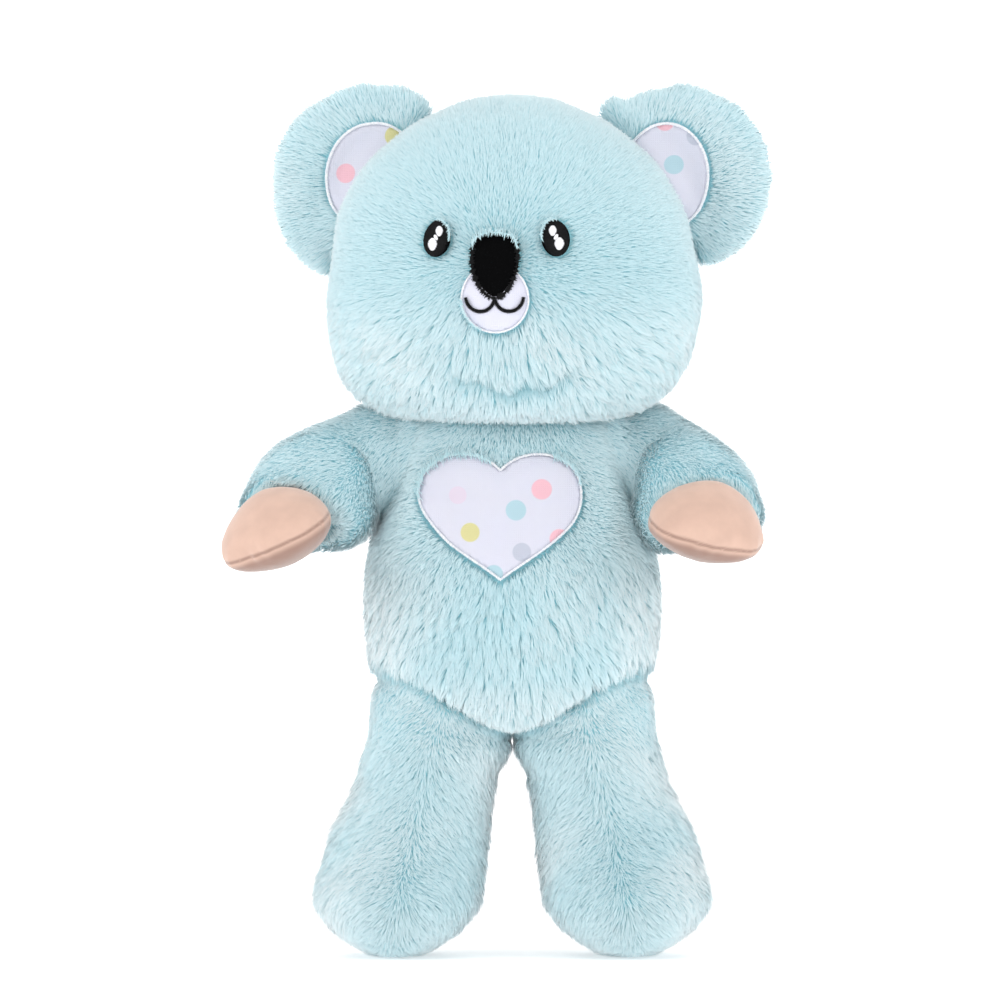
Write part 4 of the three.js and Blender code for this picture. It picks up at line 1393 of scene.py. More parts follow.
@dataclass
class Workshop:
    """The cloths, threads and node trees that every sub-assembly uses."""

    pile: Pile = field(default_factory=Pile)
    growth: PileTree = field(default_factory=PileTree)
    satin: StitchTree = field(default_factory=StitchTree)

    def __post_init__(self) -> None:
        """Makes the materials that several pieces share."""
        self.strands = self.pile.strands()
        self.backing = self.pile.backing()
        self.white_thread = Thread("white rayon thread", "#ffffff", "#eeeef6").material()
        self.black_thread = Thread("black rayon thread", "#0e0e11", "#040405", 0.6, 0.0, 0.2).material()
        self.loose_fibre = Thread("pale aqua loose fibre", "#d3ebf0", "#b9dde4", 0.8, 0.4, 0.2).material()
        self.hand_cloth = Velour("skin-coloured velour", "#dcb9a7", "#8c6b60").material()
        self.black_plush = Velour("black short plush", "#020203", "#010101", 1.0, 0.0, 0.1).material()
        self.threads = {
            Slot.WHITE_THREAD: self.white_thread,
            Slot.BLACK_THREAD: self.black_thread,
            Slot.PILE: self.loose_fibre,
        }

    def stitch(
        self, name: str, body: str, slot: Slot, rows: Iterable[Row], thread: float, uneven: float,
        nodes: Sequence[str] = (),
    ) -> None:
        """Sews rows of stitches in a slot's thread, and finishes the piece.

        Args:
            name: the new piece's name.
            body: the body that it moves with.
            slot: the material slot whose thread the stitches are sewn in.
            rows: the rows.
            thread: how thick the thread is.
            uneven: how much the stitches' lengths differ.
            nodes: the solids that the stitches stand for.
        """
        made = self.satin.sew(name, rows, Thread=thread, Unevenness=uneven, Material=self.threads[slot])
        finish_piece(made, body, nodes)

    def overhang(self, name: str, body: str, row: Row) -> None:
        """Lays a fringe of loose pile over a patch's edge."""
        self.stitch(name, body, Slot.PILE, [row], 0.3 * MM, 0.4)

    def grow_pile(
        self, skin: bpy.types.Object, name: str, body: str, seed: int, **sizes: object
    ) -> None:
        """Grows pile on a skin, and finishes the piece.

        Args:
            skin: the skin.
            name: the new piece's name.
            body: the body that it moves with.
            seed: which random draw is used.
            sizes: the growth's inputs that differ.
        """
        made = self.growth.grow(skin, name, Seed=seed, Material=self.strands, **sizes)
        finish_piece(made, body)

    def back(self, skin: bpy.types.Object) -> None:
        """Gives a skin its knitted backing, after its pile is grown."""
        drop(skin.data, lambda a: a.name.startswith(GROWING))
        skin.data.materials.append(self.backing)


@dataclass
class Torso:
    """The torso's stuffed skin, its pile, and the heart sewn on its chest."""

    shop: Workshop
    heart_height: float = 97 * MM  # above the crotch
    heart_half: float = 34.4 * MM
    heart_rise: float = 24 * MM
    heart_drop: float = 30.3 * MM
    heart_notch: float = 7.5 * MM
    heart_aside: float = -5 * MM
    bared_by_arms: float = 5 * MM  # a sleeve that moves bares this much of the torso
    dots: tuple[Dot, ...] = (
        Dot(12.6, 9.0, 4.4, "#ecb9c5"),
        Dot(1.5, 0.0, 4.4, "#b1cfda"),
        Dot(-18.2, -9.5, 4.1, "#d6d096"),
        Dot(4.0, -18.0, 4.0, "#bfc3d2"),
        Dot(20.2, -12.3, 4.2, "#ecb9c5"),
        Dot(-8.0, -27.5, 4.0, "#b1cfda"),
        Dot(-23.5, 6.5, 3.8, "#ddd0e0"),
    )

    def skin(self) -> bpy.types.Object:
        """Makes the stuffed skin."""
        form = StuffedForm(
            "torso_skin", ("torso_front_panel", "torso_back_panel", "torso_filling"),
            hull=True, seam=self.side_seams, tucked=1 * MM,
            tuck=lambda points, normals: smooth(-normals[:, 2], 0.5, 0.9),
        )
        self.form = form
        self.piece = form.build()
        points = points_of(self.piece.data)
        normals = normals_of(self.piece.data)
        aside = np.abs(points[:, 0] - ANCHORS.middle.x)
        shoulder = smooth(points[:, 2], 160 * MM, 190 * MM) * smooth(aside, 26 * MM, 50 * MM)
        points[:, 1] -= 10 * MM * shoulder * np.maximum(-normals[:, 1], 0)
        points[:, 2] += 9 * MM * smooth(points[:, 2], 200 * MM, 225 * MM)
        below = smooth(points[:, 2], 135 * MM, 105 * MM)
        rise = 0.5 * smooth(aside, 8 * MM, 55 * MM) + 0.5 * np.minimum(aside / (50 * MM), 1)
        points[:, 2] += 13 * MM * below * rise
        move_points(self.piece.data, points)
        self.surface = Surface(self.piece.data)
        return self.piece

    @staticmethod
    def side_seams(points: np.ndarray, normals: np.ndarray) -> np.ndarray:
        """Holds the cloth at the torso's side seams.

        Args:
            points: the skin's points.
            normals: its normals.

        Returns:
            How firmly each point is held.
        """
        return 0.6 * smooth(np.abs(points[:, 1] - ANCHORS.middle.y), 4 * MM, 1 * MM)

    def heart(self) -> Outline:
        """The heart's outline, seen from the front."""
        x, z = self.heart_aside, ANCHORS.crotch_height + self.heart_height
        half, rise, drop = self.heart_half, self.heart_rise, self.heart_drop
        right = bezier(
            (x, z - drop),
            (x + 0.3 * half, z - 0.72 * drop),
            (x + half, z - 0.35 * drop),
            (x + half, z + 0.2 * rise),
        ) + bezier(
            (x + half, z + 0.2 * rise),
            (x + half, z + 1.05 * rise),
            (x + 0.3 * half, z + 1.2 * rise),
            (x, z + rise - self.heart_notch),
        )
        top = [(x, z + rise - self.heart_notch)]
        left = [(2 * x - u, v) for u, v in reversed(right[1:])]
        return right + top + left

    def sew_heart(self) -> None:
        """Cuts and sews the heart."""
        middle = ANCHORS.front @ Matrix.Translation((0, 0, ANCHORS.crotch_height + self.heart_height))
        print_cloth = Cotton("dotted cotton poplin", middle, self.dots).material()
        patch = Patch("heart_cloth", self.heart(), ANCHORS.front, self.surface, crown=1.0 * MM)
        self.cloth = patch.build(print_cloth)
        finish_piece(self.cloth, "torso", ["heart_patch"])
        row = patch.border(0.65 * MM, 0.5 * MM, 0.35 * MM)
        self.shop.stitch(
            "heart_satin_stitch", "torso", Slot.WHITE_THREAD, [row], 0.5 * MM, 0.22, ["heart_stitching"]
        )
        x, z = self.heart_aside, ANCHORS.crotch_height + self.heart_height

        def lobes(u: float, v: float) -> bool:
            left = u < x - 4 * MM and v > z + 0.15 * self.heart_rise
            return left or (u > x + 22 * MM and v > z + 0.45 * self.heart_rise)

        self.shop.overhang("pile_over_heart", "torso", patch.fringe(lobes, 15, 5.5 * MM, 0.9 * MM, 93))

    def grow(self, above: Sequence[Surface], arms: Sequence[Surface], legs: Sequence[Surface]) -> None:
        """Grows the pile: it hangs down, and away from the middle of the front and back.

        Args:
            above: the neck's and the head's skins.
            arms: the sleeves' skins.
            legs: the legs' skins.
        """
        mesh = self.piece.data
        points, normals = points_of(mesh), normals_of(mesh)
        height = points[:, 2]
        local = points - np.array(ANCHORS.middle)
        aside = np.abs(local[:, 0])
        shoulder = smooth(height, 165 * MM, 185 * MM) * smooth(aside, 22 * MM, 40 * MM)
        lay = np.zeros_like(points)
        lay[:, 2] = -1
        lay[:, 0] = 0.45 * np.tanh(local[:, 0] / 0.03) + 1.6 * shoulder * np.sign(local[:, 0])
        low = smooth(height, 185 * MM, 150 * MM)
        edge = smooth(height, 112 * MM, 92 * MM)
        beside = smooth(aside, 30 * MM, 52 * MM)
        below = smooth(height, 132 * MM, 112 * MM)
        # Painted shade in the creases by the neck, head, sleeves and legs, and thinly over the middle of the
        # lower front.
        armpit = creased(points, arms, 7 * MM) * smooth(height, *ARMPIT)
        creases = (creased(points, above, 6 * MM, 0.4), armpit, creased(points, legs, 9 * MM))
        # Whiter tips on the lower sides, which is painted rim light, and along the hem over the legs.
        painted_side_light_and_hem = 0.75 * np.maximum(beside * low, below)
        give_all(
            mesh,
            lay=laid(lay, normals),
            pile=0.8 + 0.2 * low - 0.5 * edge,
            lean=0.55 + 0.35 * low,
            tufty=0.2 + 0.8 * low,
            frost=np.maximum(frosted(points, 0.2 + 0.3 * low), painted_side_light_and_hem),
            deep=np.maximum(np.max(creases, axis=0), 0.12 * low * (1 - beside)),
        )
        grow = clear_of(points, above) * clear_of(points, arms, self.bared_by_arms) * clear_of(points, legs)
        front = (normals[:, 1] < 0).astype(float)
        for part, share, seed in (("front", front, 21), ("back", 1 - front, 22)):
            give(mesh, f"grow {part}", grow * share)
            self.shop.grow_pile(
                self.piece, f"torso_pile_{part}", "torso", seed, Mask=f"grow {part}",
                Patches=self.cloth, Over_patches=2.0 * MM,
            )
        self.shop.back(self.piece)
        finish_piece(self.piece, "torso", self.form.nodes)


# The heights between which the painted shade in a sleeve's crease grows from none to full.
ARMPIT = (212 * MM, 192 * MM)


def clear_of(
    points: np.ndarray,
    others: Iterable[Surface],
    bared: float = 0.0,
    ends: tuple[float, float] = (-1.5 * MM, 1.0 * MM),
) -> np.ndarray:
    """How much pile grows at points of a skin that lies against others.

    Args:
        points: rows of x, y and z.
        others: the skins that lie against it.
        bared: how much deeper inside them pile grows, because a motion brings it out.
        ends: how far outside them pile begins, and where it is full.

    Returns:
        One share for each row.
    """
    share = np.ones(len(points))
    for other in others:
        share *= smooth(other.height(points) + bared, *ends)
    return share


def creased(points: np.ndarray, others: Sequence[Surface], reach: float, most: float = 0.8) -> np.ndarray:
    """How far points lie into the creases between a skin and its neighbours, as the share of painted shade
    there.

    Args:
        points: rows of x, y and z.
        others: the neighbours.
        reach: how far from a neighbour a crease begins.
        most: the share at the bottom of a crease.

    Returns:
        One share for each row.
    """
    deep = np.zeros(len(points))
    for other in others:
        deep = np.maximum(deep, smooth(other.height(points, reach + 1 * MM), reach, 0.5 * MM))
    return most * deep


def frosted(points: np.ndarray, strength: float) -> np.ndarray:
    """How whitish the tips are, in soft bands: partly the pile's own colour and partly painted sheen, as
    stroked nap catches light.

    Args:
        points: rows of x, y and z.
        strength: the most that it reaches.

    Returns:
        One share for each row.
    """
    x, y, z = points.T
    wave = np.sin(x * 95 + 1.3 * np.sin(z * 70)) * np.sin(z * 58 + y * 31)
    return strength * smooth(wave, -0.6, 0.9)


@dataclass
class Neck:
    """The short tube of cloth between torso and head."""

    shop: Workshop
    half_width: float = 34 * MM
    half_depth: float = 27 * MM
    below: float = 13 * MM
    above: float = 9 * MM

    def skin(self) -> bpy.types.Object:
        """Makes the tube, closed at both ends inside the torso and the head."""
        shape = bmesh.new()
        around, rings = 40, 8
        loops = []
        for k in range(rings):
            t = k / (rings - 1)
            z = ANCHORS.neck.z - self.below + t * (self.below + self.above)
            waist = 1 - 0.06 * math.sin(math.pi * t)
            loops.append([
                shape.verts.new((
                    ANCHORS.neck.x + self.half_width * waist * math.cos(math.tau * j / around),
                    ANCHORS.neck.y + self.half_depth * waist * math.sin(math.tau * j / around),
                    z,
                ))
                for j in range(around)
            ])
        for low, high in zip(loops, loops[1:]):
            for j in range(around):
                n = (j + 1) % around
                shape.faces.new((low[j], low[n], high[n], high[j]))
        shape.faces.new(list(reversed(loops[0])))
        shape.faces.new(loops[-1])
        mesh = bpy.data.meshes.new("neck_skin")
        shape.to_mesh(mesh)
        shape.free()
        self.piece = linked("neck_skin", mesh)
        shade_smooth(mesh)
        self.surface = Surface(mesh)
        return self.piece

    def grow(self) -> None:
        """Grows short pile that lies down and outwards."""
        mesh = self.piece.data
        normals = normals_of(mesh)
        lay = normals * 0.2
        lay[:, 2] = -1
        side = (np.abs(normals[:, 2]) < 0.9).astype(float)
        give_all(mesh, lay=unit(lay), pile=0.6, lean=0.8, tufty=0.5, frost=0.0, grow=side)
        self.shop.grow_pile(self.piece, "neck_pile", "neck", 31, Strands_per_square_metre=1.2e6)
        self.shop.back(self.piece)
        finish_piece(self.piece, "neck", ["neck_filling"])


@dataclass
class Leg:
    """A stuffed leg with its foot, whose pile parts along the front and back seam."""

    shop: Workshop
    side: Side
    fuller: tuple[float, float] = (5.4 * MM, 3 * MM)  # on its outer and its inner side
    hip_bulge: float = 1 * MM
    sole_pile: float = 2.4 * MM  # the sole's cloth is above the ground by this
    toe: tuple[float, float] = (50.5 * MM, 14 * MM)  # out from the middle, and up
    hip: tuple[float, float] = (32.3 * MM, 97 * MM)

    @property
    def seam(self) -> tuple[Vector, Vector]:
        """A point of the leg's seam plane and its outward normal."""
        s = self.side.value
        foot = Vector((ANCHORS.middle.x + s * self.toe[0], ANCHORS.middle.y, self.toe[1]))
        along = Vector((s * (self.hip[0] - self.toe[0]), 0, self.hip[1] - self.toe[1]))
        return foot, Vector((s * along.z, 0, -s * along.x)).normalized()

    def from_seam(self, points: np.ndarray) -> np.ndarray:
        """How far points are outward of the seam plane."""
        foot, normal = self.seam
        return (points - np.array(foot)) @ np.array(normal)

    def skin(self) -> bpy.types.Object:
        """Makes the stuffed skin."""
        word = self.side.word
        self.form = StuffedForm(
            f"leg_skin_{word}",
            (f"leg_outer_panel_{word}", f"leg_inner_panel_{word}", f"leg_filling_{word}"),
            sole=True,
            seam=lambda points, _: smooth(np.abs(self.from_seam(points)), 4 * MM, 1 * MM),
            tuck=lambda points, normals: smooth(normals[:, 2], 0.4, 0.8) * (points[:, 2] > 70 * MM),
        )
        self.piece = self.form.build()
        points, normals = points_of(self.piece.data), normals_of(self.piece.data)
        low = smooth(points[:, 2], 30 * MM, 6 * MM)
        points[:, 2] = np.maximum(points[:, 2] - 4 * MM * low, self.sole_pile)
        outward = self.side.value * normals[:, 0]
        hip = smooth(points[:, 2], 72 * MM, 92 * MM) * smooth(points[:, 2], 118 * MM, 100 * MM)
        outer = self.fuller[0] * (0.5 + 0.5 * smooth(points[:, 2], 38 * MM, 55 * MM))
        outer = outer * smooth(points[:, 2], 118 * MM, 98 * MM) + self.hip_bulge * hip
        aside = self.side.value * (points[:, 0] - ANCHORS.middle.x)
        points[:, 2] += 12 * MM * smooth(points[:, 2], 80 * MM, 105 * MM) * smooth(aside, 20 * MM, 50 * MM)
        inner = self.fuller[1] + 6 * MM * smooth(points[:, 2], 80 * MM, 95 * MM)
        points[:, 0] += self.side.value * np.where(outward > 0, outer, inner) * outward
        middle = points[points[:, 2] < 20 * MM].mean(0)
        curl = np.maximum(1 - points[:, 2] / (25 * MM), 0) ** 1.4
        points[:, 0] = middle[0] + (points[:, 0] - middle[0]) * (1 - 0.62 * curl)
        points[:, 1] = middle[1] + (points[:, 1] - middle[1]) * (1 - 0.3 * curl)
        move_points(self.piece.data, points)
        self.surface = Surface(self.piece.data)
        return self.piece

    def grow(self, others: Sequence[Surface]) -> None:
        """Grows the pile: down, and away from the seam.

        Args:
            others: the skins that lie against the leg.
        """
        word = self.side.word
        mesh = self.piece.data
        points, normals = points_of(mesh), normals_of(mesh)
        aside = self.from_seam(points)
        _, outward = self.seam
        lay = np.zeros_like(points)
        lay[:, 2] = -1
        spread = np.tanh(aside / 0.006) * (0.35 + 0.6 * smooth(np.abs(aside), 28 * MM, 4 * MM))
        lay += np.array(outward)[None] * spread[:, None]
        short = 0.5 * smooth(points[:, 2], 18 * MM, 4 * MM)
        hip = 0.5 * smooth(points[:, 2], 86 * MM, 100 * MM)
        beside = smooth(np.abs(aside), 8 * MM, 30 * MM)
        # The pile gets painted shade in its crease against the torso.
        give_all(
            mesh,
            lay=laid(lay, normals),
            pile=1 - np.maximum(short, hip),
            lean=np.maximum(0.5 + 0.3 * beside, smooth(-normals[:, 2], 0.3, 0.8)),
            tufty=0.35 + 0.3 * beside,
            frost=frosted(points, 0.35 + 0.5 * beside),
            deep=creased(points, others, 7 * MM),
            grow=clear_of(points, others),
        )
        made = self.shop.growth.grow(
            self.piece, f"leg_pile_{word}", Seed=41 + self.side.value, Material=self.shop.strands
        )
        self.shop.back(self.piece)
        start, end = self.crease
        for piece in (self.piece, made):
            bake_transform(piece, "torso", f"leg_{word}", start=start, end=end)
            LOG.info("%s bends from torso to leg_%s", piece.name, word)
        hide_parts(*self.form.nodes)

    @property
    def crease(self) -> tuple[tuple[float, float, float], tuple[float, float, float]]:
        """Where the cloth leaves the torso's motion, and where it has the leg's."""
        joint = joint_place(f"leg_fold_{self.side.word}")
        return (joint.x, joint.y, joint.z + 2 * MM), (joint.x, joint.y, joint.z - 30 * MM)


@dataclass
class Arm:
    """A sleeve of pile cloth with an open cuff, and the velour hand in it."""

    shop: Workshop
    side: Side
    cuff: tuple[float, float, float] = (31, 36, 18)  # out, forward and down from the shoulder, mm
    tip: tuple[float, float, float] = (35, 82, 36)
    roll: float = 13
    fuller: tuple[float, float] = (9 * MM, 4 * MM)  # more height at the shoulder and the cuff
    plump: tuple[float, float, float] = (1.14, 1.45, 1.15)  # the hand's width, and its upper and lower bulge
    dropped: float = 1 * MM
    drawn_in: float = 0.0  # how far the hand is pushed into the cuff
    wide_cuff: float = 0.0  # how much farther out the cuff reaches
    hand_aside: float = 0.0
    half_thick: float = 12 * MM  # the hand's
    groove: float = 0.45 * MM  # half the width of its seam

    def at(self, spot: tuple[float, float, float]) -> Vector:
        """A point given by how far it is out, forward and down from the shoulder, in mm."""
        out, forward, down = spot
        return ANCHORS.shoulders[self.side] + Vector((self.side.value * out, -forward, -down)) * MM

    @property
    def way(self) -> Vector:
        """The way that the hand points."""
        return (self.at(self.tip) - self.at(self.cuff)).normalized()

    @property
    def seam_up(self) -> Vector:
        """The normal of the hand's seam plane, towards its upper panel."""
        across = self.way.cross(Vector((0, 0, 1))).normalized()
        up = across.cross(self.way).normalized()
        turn = math.radians(-self.roll if self.side is Side.LEFT else self.roll)
        return Matrix.Rotation(turn, 3, self.way) @ up

    def skin(self) -> bpy.types.Object:
        """Makes the sleeve's skin, which closes round the hand at the cuff."""
        word = self.side.word
        inward = -self.side.value
        self.form = StuffedForm(
            f"sleeve_skin_{word}",
            (f"sleeve_{word}", f"arm_filling_{word}", f"shoulder_filling_{word}"),
            voxel=3.5 * MM,
            evening=6,
            swell=2 * MM,
            tuck=lambda points, normals: smooth(inward * normals[:, 0], 0.3, 0.8),
            tucked=8 * MM,
            end=(self.at(self.cuff), self.way),
            seam=lambda points, _: 0.8 * smooth(self.beyond_cuff(points), -9 * MM, -4 * MM),
        )
        self.piece = self.form.build()
        self.shape_sleeve()
        self.surface = Surface(self.piece.data)
        return self.piece

    def shape_sleeve(self) -> None:
        """Raises the sleeve's shoulder, and draws its end in round the hand."""
        points, normals = points_of(self.piece.data), normals_of(self.piece.data)
        out = self.side.value * (points[:, 0] - ANCHORS.shoulders[self.side].x)
        shoulder, cuff = self.fuller
        rise = shoulder + (cuff - shoulder) * smooth(out, 5 * MM, 45 * MM)
        ended = smooth(self.beyond_cuff(points), -4 * MM, -22 * MM)
        points[:, 2] += rise * smooth(normals[:, 2], -0.4, 0.7) * ended
        end = smooth(self.beyond_cuff(points), -32 * MM, -10 * MM)
        outward = (2.5 * MM + self.wide_cuff * end) * np.maximum(self.side.value * normals[:, 0], 0)
        points[:, 0] += self.side.value * outward
        points += 1.2 * MM * normals
        beyond = self.beyond_cuff(points)
        centre, way = np.array(self.at(self.cuff)), np.array(self.way)
        axis = centre + beyond[:, None] * way
        radial = points - axis
        above = smooth(radial[:, 2], -6 * MM, 6 * MM)
        near = smooth(beyond, -22 * MM, 0)
        points = axis + radial * (1 - 0.08 * near * above + 0.06 * near * (1 - above))[:, None]
        inside = smooth(np.linalg.norm(radial, axis=1), 19 * MM, 9 * MM)
        inside *= smooth(beyond, -6 * MM, -2 * MM)
        points -= way * (8 * MM * inside)[:, None]
        move_points(self.piece.data, points)

    def beyond_cuff(self, points: np.ndarray) -> np.ndarray:
        """How far points are beyond the cuff's plane, towards the fingers."""
        return (points - np.array(self.at(self.cuff))) @ np.array(self.way)

    def hand(self) -> None:
        """Makes the mitten hand: two panels of velour that bulge from a rim seam."""
        word = self.side.word
        origin, up = np.array(self.at(self.cuff)), np.array(self.seam_up)

        def from_seam(points: np.ndarray) -> np.ndarray:
            return np.abs((points - origin) @ up)

        form = StuffedForm(
            f"hand_skin_{word}",
            (f"hand_upper_panel_{word}", f"hand_lower_panel_{word}"),
            inset=0.3 * MM,
            voxel=2.4 * MM,
            hull=True,
            evening=5,
            swell=2.2 * MM,
            seam=lambda points, _: smooth(from_seam(points), 2.2 * MM, 0.8 * MM),
            rounds=2,
        )
        piece = form.build()
        points, normals = points_of(piece.data), normals_of(piece.data)
        way = np.array(self.way)
        side_way = np.cross(way, up)
        local = points - origin
        along, height = local @ way, local @ up
        share = smooth(along, -3 * MM, 14 * MM)
        fat = np.where(height > 0, self.plump[1], self.plump[2])
        blunt = self.half_thick * np.sign(height) * (np.abs(height) / self.half_thick) ** 0.88
        parts = [
            along - self.drawn_in,
            local @ side_way * (1 + (self.plump[0] - 1) * share),
            height + (blunt * fat - height) * share,
        ]
        points = origin + sum(p[:, None] * v for p, v in zip(parts, (way, side_way, up)))
        out_of_cuff = smooth(parts[0], -5 * MM, 15 * MM)
        points[:, 2] -= self.dropped * out_of_cuff
        points[:, 0] += self.hand_aside * out_of_cuff
        groove = np.exp(-((height / self.groove) ** 2))
        wave = np.sin(parts[1] * 640 + 3 * np.sin(parts[1] * 170)) * (0.6 + 0.4 * np.sin(parts[1] * 90))
        pucker = wave * np.exp(-((parts[2] / (3.5 * MM)) ** 2))
        move_points(piece.data, points - normals * ((0.15 * groove + 0.5 * pucker) * MM)[:, None])
        # The seam attribute darkens the cloth: painted shade in the seam's groove and over the lower panel,
        # which faces down.
        give(piece.data, "seam", np.maximum(0.8 * groove, 0.8 * smooth(-parts[2], 0, 4 * MM)))
        piece.data.materials.append(self.shop.hand_cloth)
        self.mitten = Surface(piece.data)
        finish_piece(piece, f"arm_{word}", [*form.nodes, f"arm_filling_{word}"])

    def grow(self, others: Sequence[Surface]) -> None:
        """Grows the pile: along the sleeve towards the cuff.

        Args:
            others: the skins that lie against the sleeve.
        """
        word = self.side.word
        mesh = self.piece.data
        points, normals = points_of(mesh), normals_of(mesh)
        beyond = self.beyond_cuff(points)
        share = smooth(beyond, -14 * MM, -2 * MM)[:, None]
        lay = np.array((self.side.value * 0.8, 0.0, -0.7)) * (1 - share) + np.array(self.way) * share
        torso, head = others
        grow = smooth(self.mitten.height(points), -0.5 * MM, 1.0 * MM)
        # An arm that swings brings out what the torso hides.
        grow *= clear_of(points, [torso], ends=(-16 * MM, -13 * MM)) * clear_of(points, [head])
        over_hand = smooth(beyond, -8 * MM, -1 * MM)
        # The pile gets painted shade in its creases against the torso and the head, low in the armpit.
        give_all(
            mesh,
            lay=laid(lay, normals),
            pile=0.66 + 0.2 * over_hand,
            lean=0.75 + 0.2 * over_hand,
            tufty=0.06,
            frost=frosted(points, 0.1),
            deep=creased(points, others, 6 * MM, 0.7) * smooth(points[:, 2], *ARMPIT),
            grow=grow,
        )
        body = f"arm_{word}"
        self.shop.grow_pile(self.piece, f"sleeve_pile_{word}", body, 51 + self.side.value)
        self.shop.back(self.piece)
        nodes = [f"sleeve_{word}", f"shoulder_filling_{word}"]
        finish_piece(self.piece, body, nodes)


@dataclass
class Head:
    """The koala hood over the head, with its face. Sizes are from the neck ball's centre."""

    shop: Workshop
    nose_height: float = 57.2 * MM
    nose_half: float = 9.6 * MM
    nose_top_half: float = 8.8 * MM
    nose_rise: float = 13 * MM
    nose_drop: float = 13.4 * MM
    muzzle_height: float = 43.5 * MM
    muzzle_half: float = 14 * MM
    mouth_height: float = 44.5 * MM
    curl: float = 6.0 * MM
    eye_out: float = 24.8 * MM
    eye_height: float = 68.6 * MM
    eye_half: tuple[float, float] = (5.9 * MM, 7.8 * MM)
    eye_lean: float = 10

    def skin(self) -> bpy.types.Object:
        """Makes the stuffed skin, with the rim of the hood let down in front."""
        self.form = StuffedForm(
            "head_skin", ("head_front_panel", "head_back_panel", "head_filling"),
            hull=True, swell=2.5 * MM, tucked=0.5 * MM,
            tuck=lambda points, normals: smooth(-normals[:, 2], 0.1, 0.7),
        )
        self.piece = self.form.build()
        points = points_of(self.piece.data)
        local = ANCHORS.to_head(points)
        low = smooth(local[:, 2], 30 * MM, 6 * MM)
        ahead = smooth(local[:, 1], 30 * MM, -30 * MM)
        local[:, 0] *= 1 - 0.07 * low
        local[:, 2] -= low * (3 * MM + 11 * MM * ahead)
        temple = np.exp(-(((local[:, 2] - 88 * MM) / (20 * MM)) ** 2))
        beside = smooth(np.abs(local[:, 0]), 30 * MM, 55 * MM) * temple
        cheek = np.exp(-(((local[:, 2] - 52 * MM) / (22 * MM)) ** 2))
        cheek *= smooth(local[:, 0], 20 * MM, 60 * MM)
        local[:, 0] += 3 * MM * beside * np.sign(local[:, 0]) + 2.5 * MM * cheek
        local[:, 2] += 3.5 * MM * smooth(local[:, 2], 75 * MM, 110 * MM)
        local[:, 1] += 4.5 * MM * self.pucker(local)
        move_points(self.piece.data, ANCHORS.from_head(local))
        self.surface = Surface(self.piece.data)
        return self.piece

    @staticmethod
    def pucker(local: np.ndarray) -> np.ndarray:
        """The smile-shaped gather under the chin.

        Args:
            local: rows of x, y and z from the neck ball's centre, along the head's own axes.

        Returns:
            How far each point is into it, from 0 to 1, which sets both its dent and its painted shade.
        """
        u = local[:, 0] - 7 * MM
        line = 6 * MM + 12 * u**2 + 1.6 * MM * np.sin(u * 330)
        width = (3.6 + 1 * np.sin(u * 210 + 1)) * MM
        deep = np.exp(-(((local[:, 2] - line) / width) ** 2)) * (local[:, 1] < 0)
        return deep * smooth(np.abs(u), 32 * MM, 18 * MM) * (0.85 + 0.15 * np.sin(u * 460))

    def nose(self) -> Outline:
        """The nose's outline, with a nearly flat top and a rounded point below."""
        half, rise, drop, z = self.nose_half, self.nose_rise, self.nose_drop, self.nose_height
        right = bezier(
            (0, z - drop), (0.6 * half, z - 0.95 * drop), (half, z - 0.35 * drop), (half, z + 0.15 * rise)
        ) + bezier(
            (half, z + 0.15 * rise),
            (half, z + 0.8 * rise),
            (self.nose_top_half * 0.95, z + rise),
            (0, z + rise),
        )
        return right + [(0, z + rise)] + [(-u, v) for u, v in reversed(right[1:])]

    def mouth(self) -> list[Outline]:
        """The mouth's two curls, one line each."""
        angles = [math.pi * (1.02 + 0.9 * k / 24) for k in range(25)]
        return [
            [
                (s * (self.curl - self.curl * math.cos(a)), self.mouth_height + self.curl * math.sin(a))
                for a in angles
            ]
            for s in (-1, 1)
        ]

    def face(self) -> None:
        """Sews the muzzle, nose, mouth and eyes."""
        shop, place = self.shop, ANCHORS.head
        muzzle_cloth = Cotton("white cotton muzzle", place, ground="#e0e0ec").material()
        muzzle = Patch(
            "muzzle_cloth", oval(0, self.muzzle_height, self.muzzle_half, self.muzzle_half), place,
            self.surface, lift=3.4 * MM, crown=1.2 * MM, grain=1.6 * MM,
        )
        cloth = muzzle.build(muzzle_cloth)
        finish_piece(cloth, "head", ["muzzle_patch"])
        rim = muzzle.border(0.5 * MM, 0.45 * MM, 0.3 * MM)
        shop.stitch(
            "muzzle_satin_stitch", "head", Slot.WHITE_THREAD, [rim], 0.5 * MM, 0.15, ["muzzle_stitching"]
        )
        left, high = -0.45 * self.muzzle_half, self.muzzle_height
        strands = muzzle.fringe(lambda u, v: u < left and v < high, 55, 3 * MM, 1.2 * MM, 90)
        shop.overhang("pile_over_muzzle", "head", strands)
        nose = Patch(
            "nose_plush", self.nose(), place, self.surface, lift=4.7 * MM, crown=1.2 * MM, grain=1.4 * MM
        )
        plush = nose.build(shop.black_plush, 1.2 * MM)
        finish_piece(plush, "head", ["nose_patch"])
        edge = nose.border(1.15 * MM, 0.42 * MM, 0.2 * MM, 0.1)
        shop.stitch(
            "nose_satin_stitch", "head", Slot.BLACK_THREAD, [edge], 0.55 * MM, 0.7, ["nose_stitching"]
        )
        crown = self.nose_height + 0.55 * self.nose_rise
        strands = nose.fringe(lambda _, v: v > crown, 0, 4.2 * MM, 1.9 * MM, 91)
        shop.overhang("pile_over_nose", "head", strands)
        smile = [
            muzzle.line(walked(line, 0.42 * MM, closed=False), 0.95 * MM, 1.5 * MM) for line in self.mouth()
        ]
        shop.stitch(
            "mouth_satin_stitch", "head", Slot.BLACK_THREAD, smile, 0.55 * MM, 0.06, ["mouth_stitching"]
        )
        self.covers = joined_cover("face patches", [cloth, plush, *(self.sew_eye(side) for side in Side)])

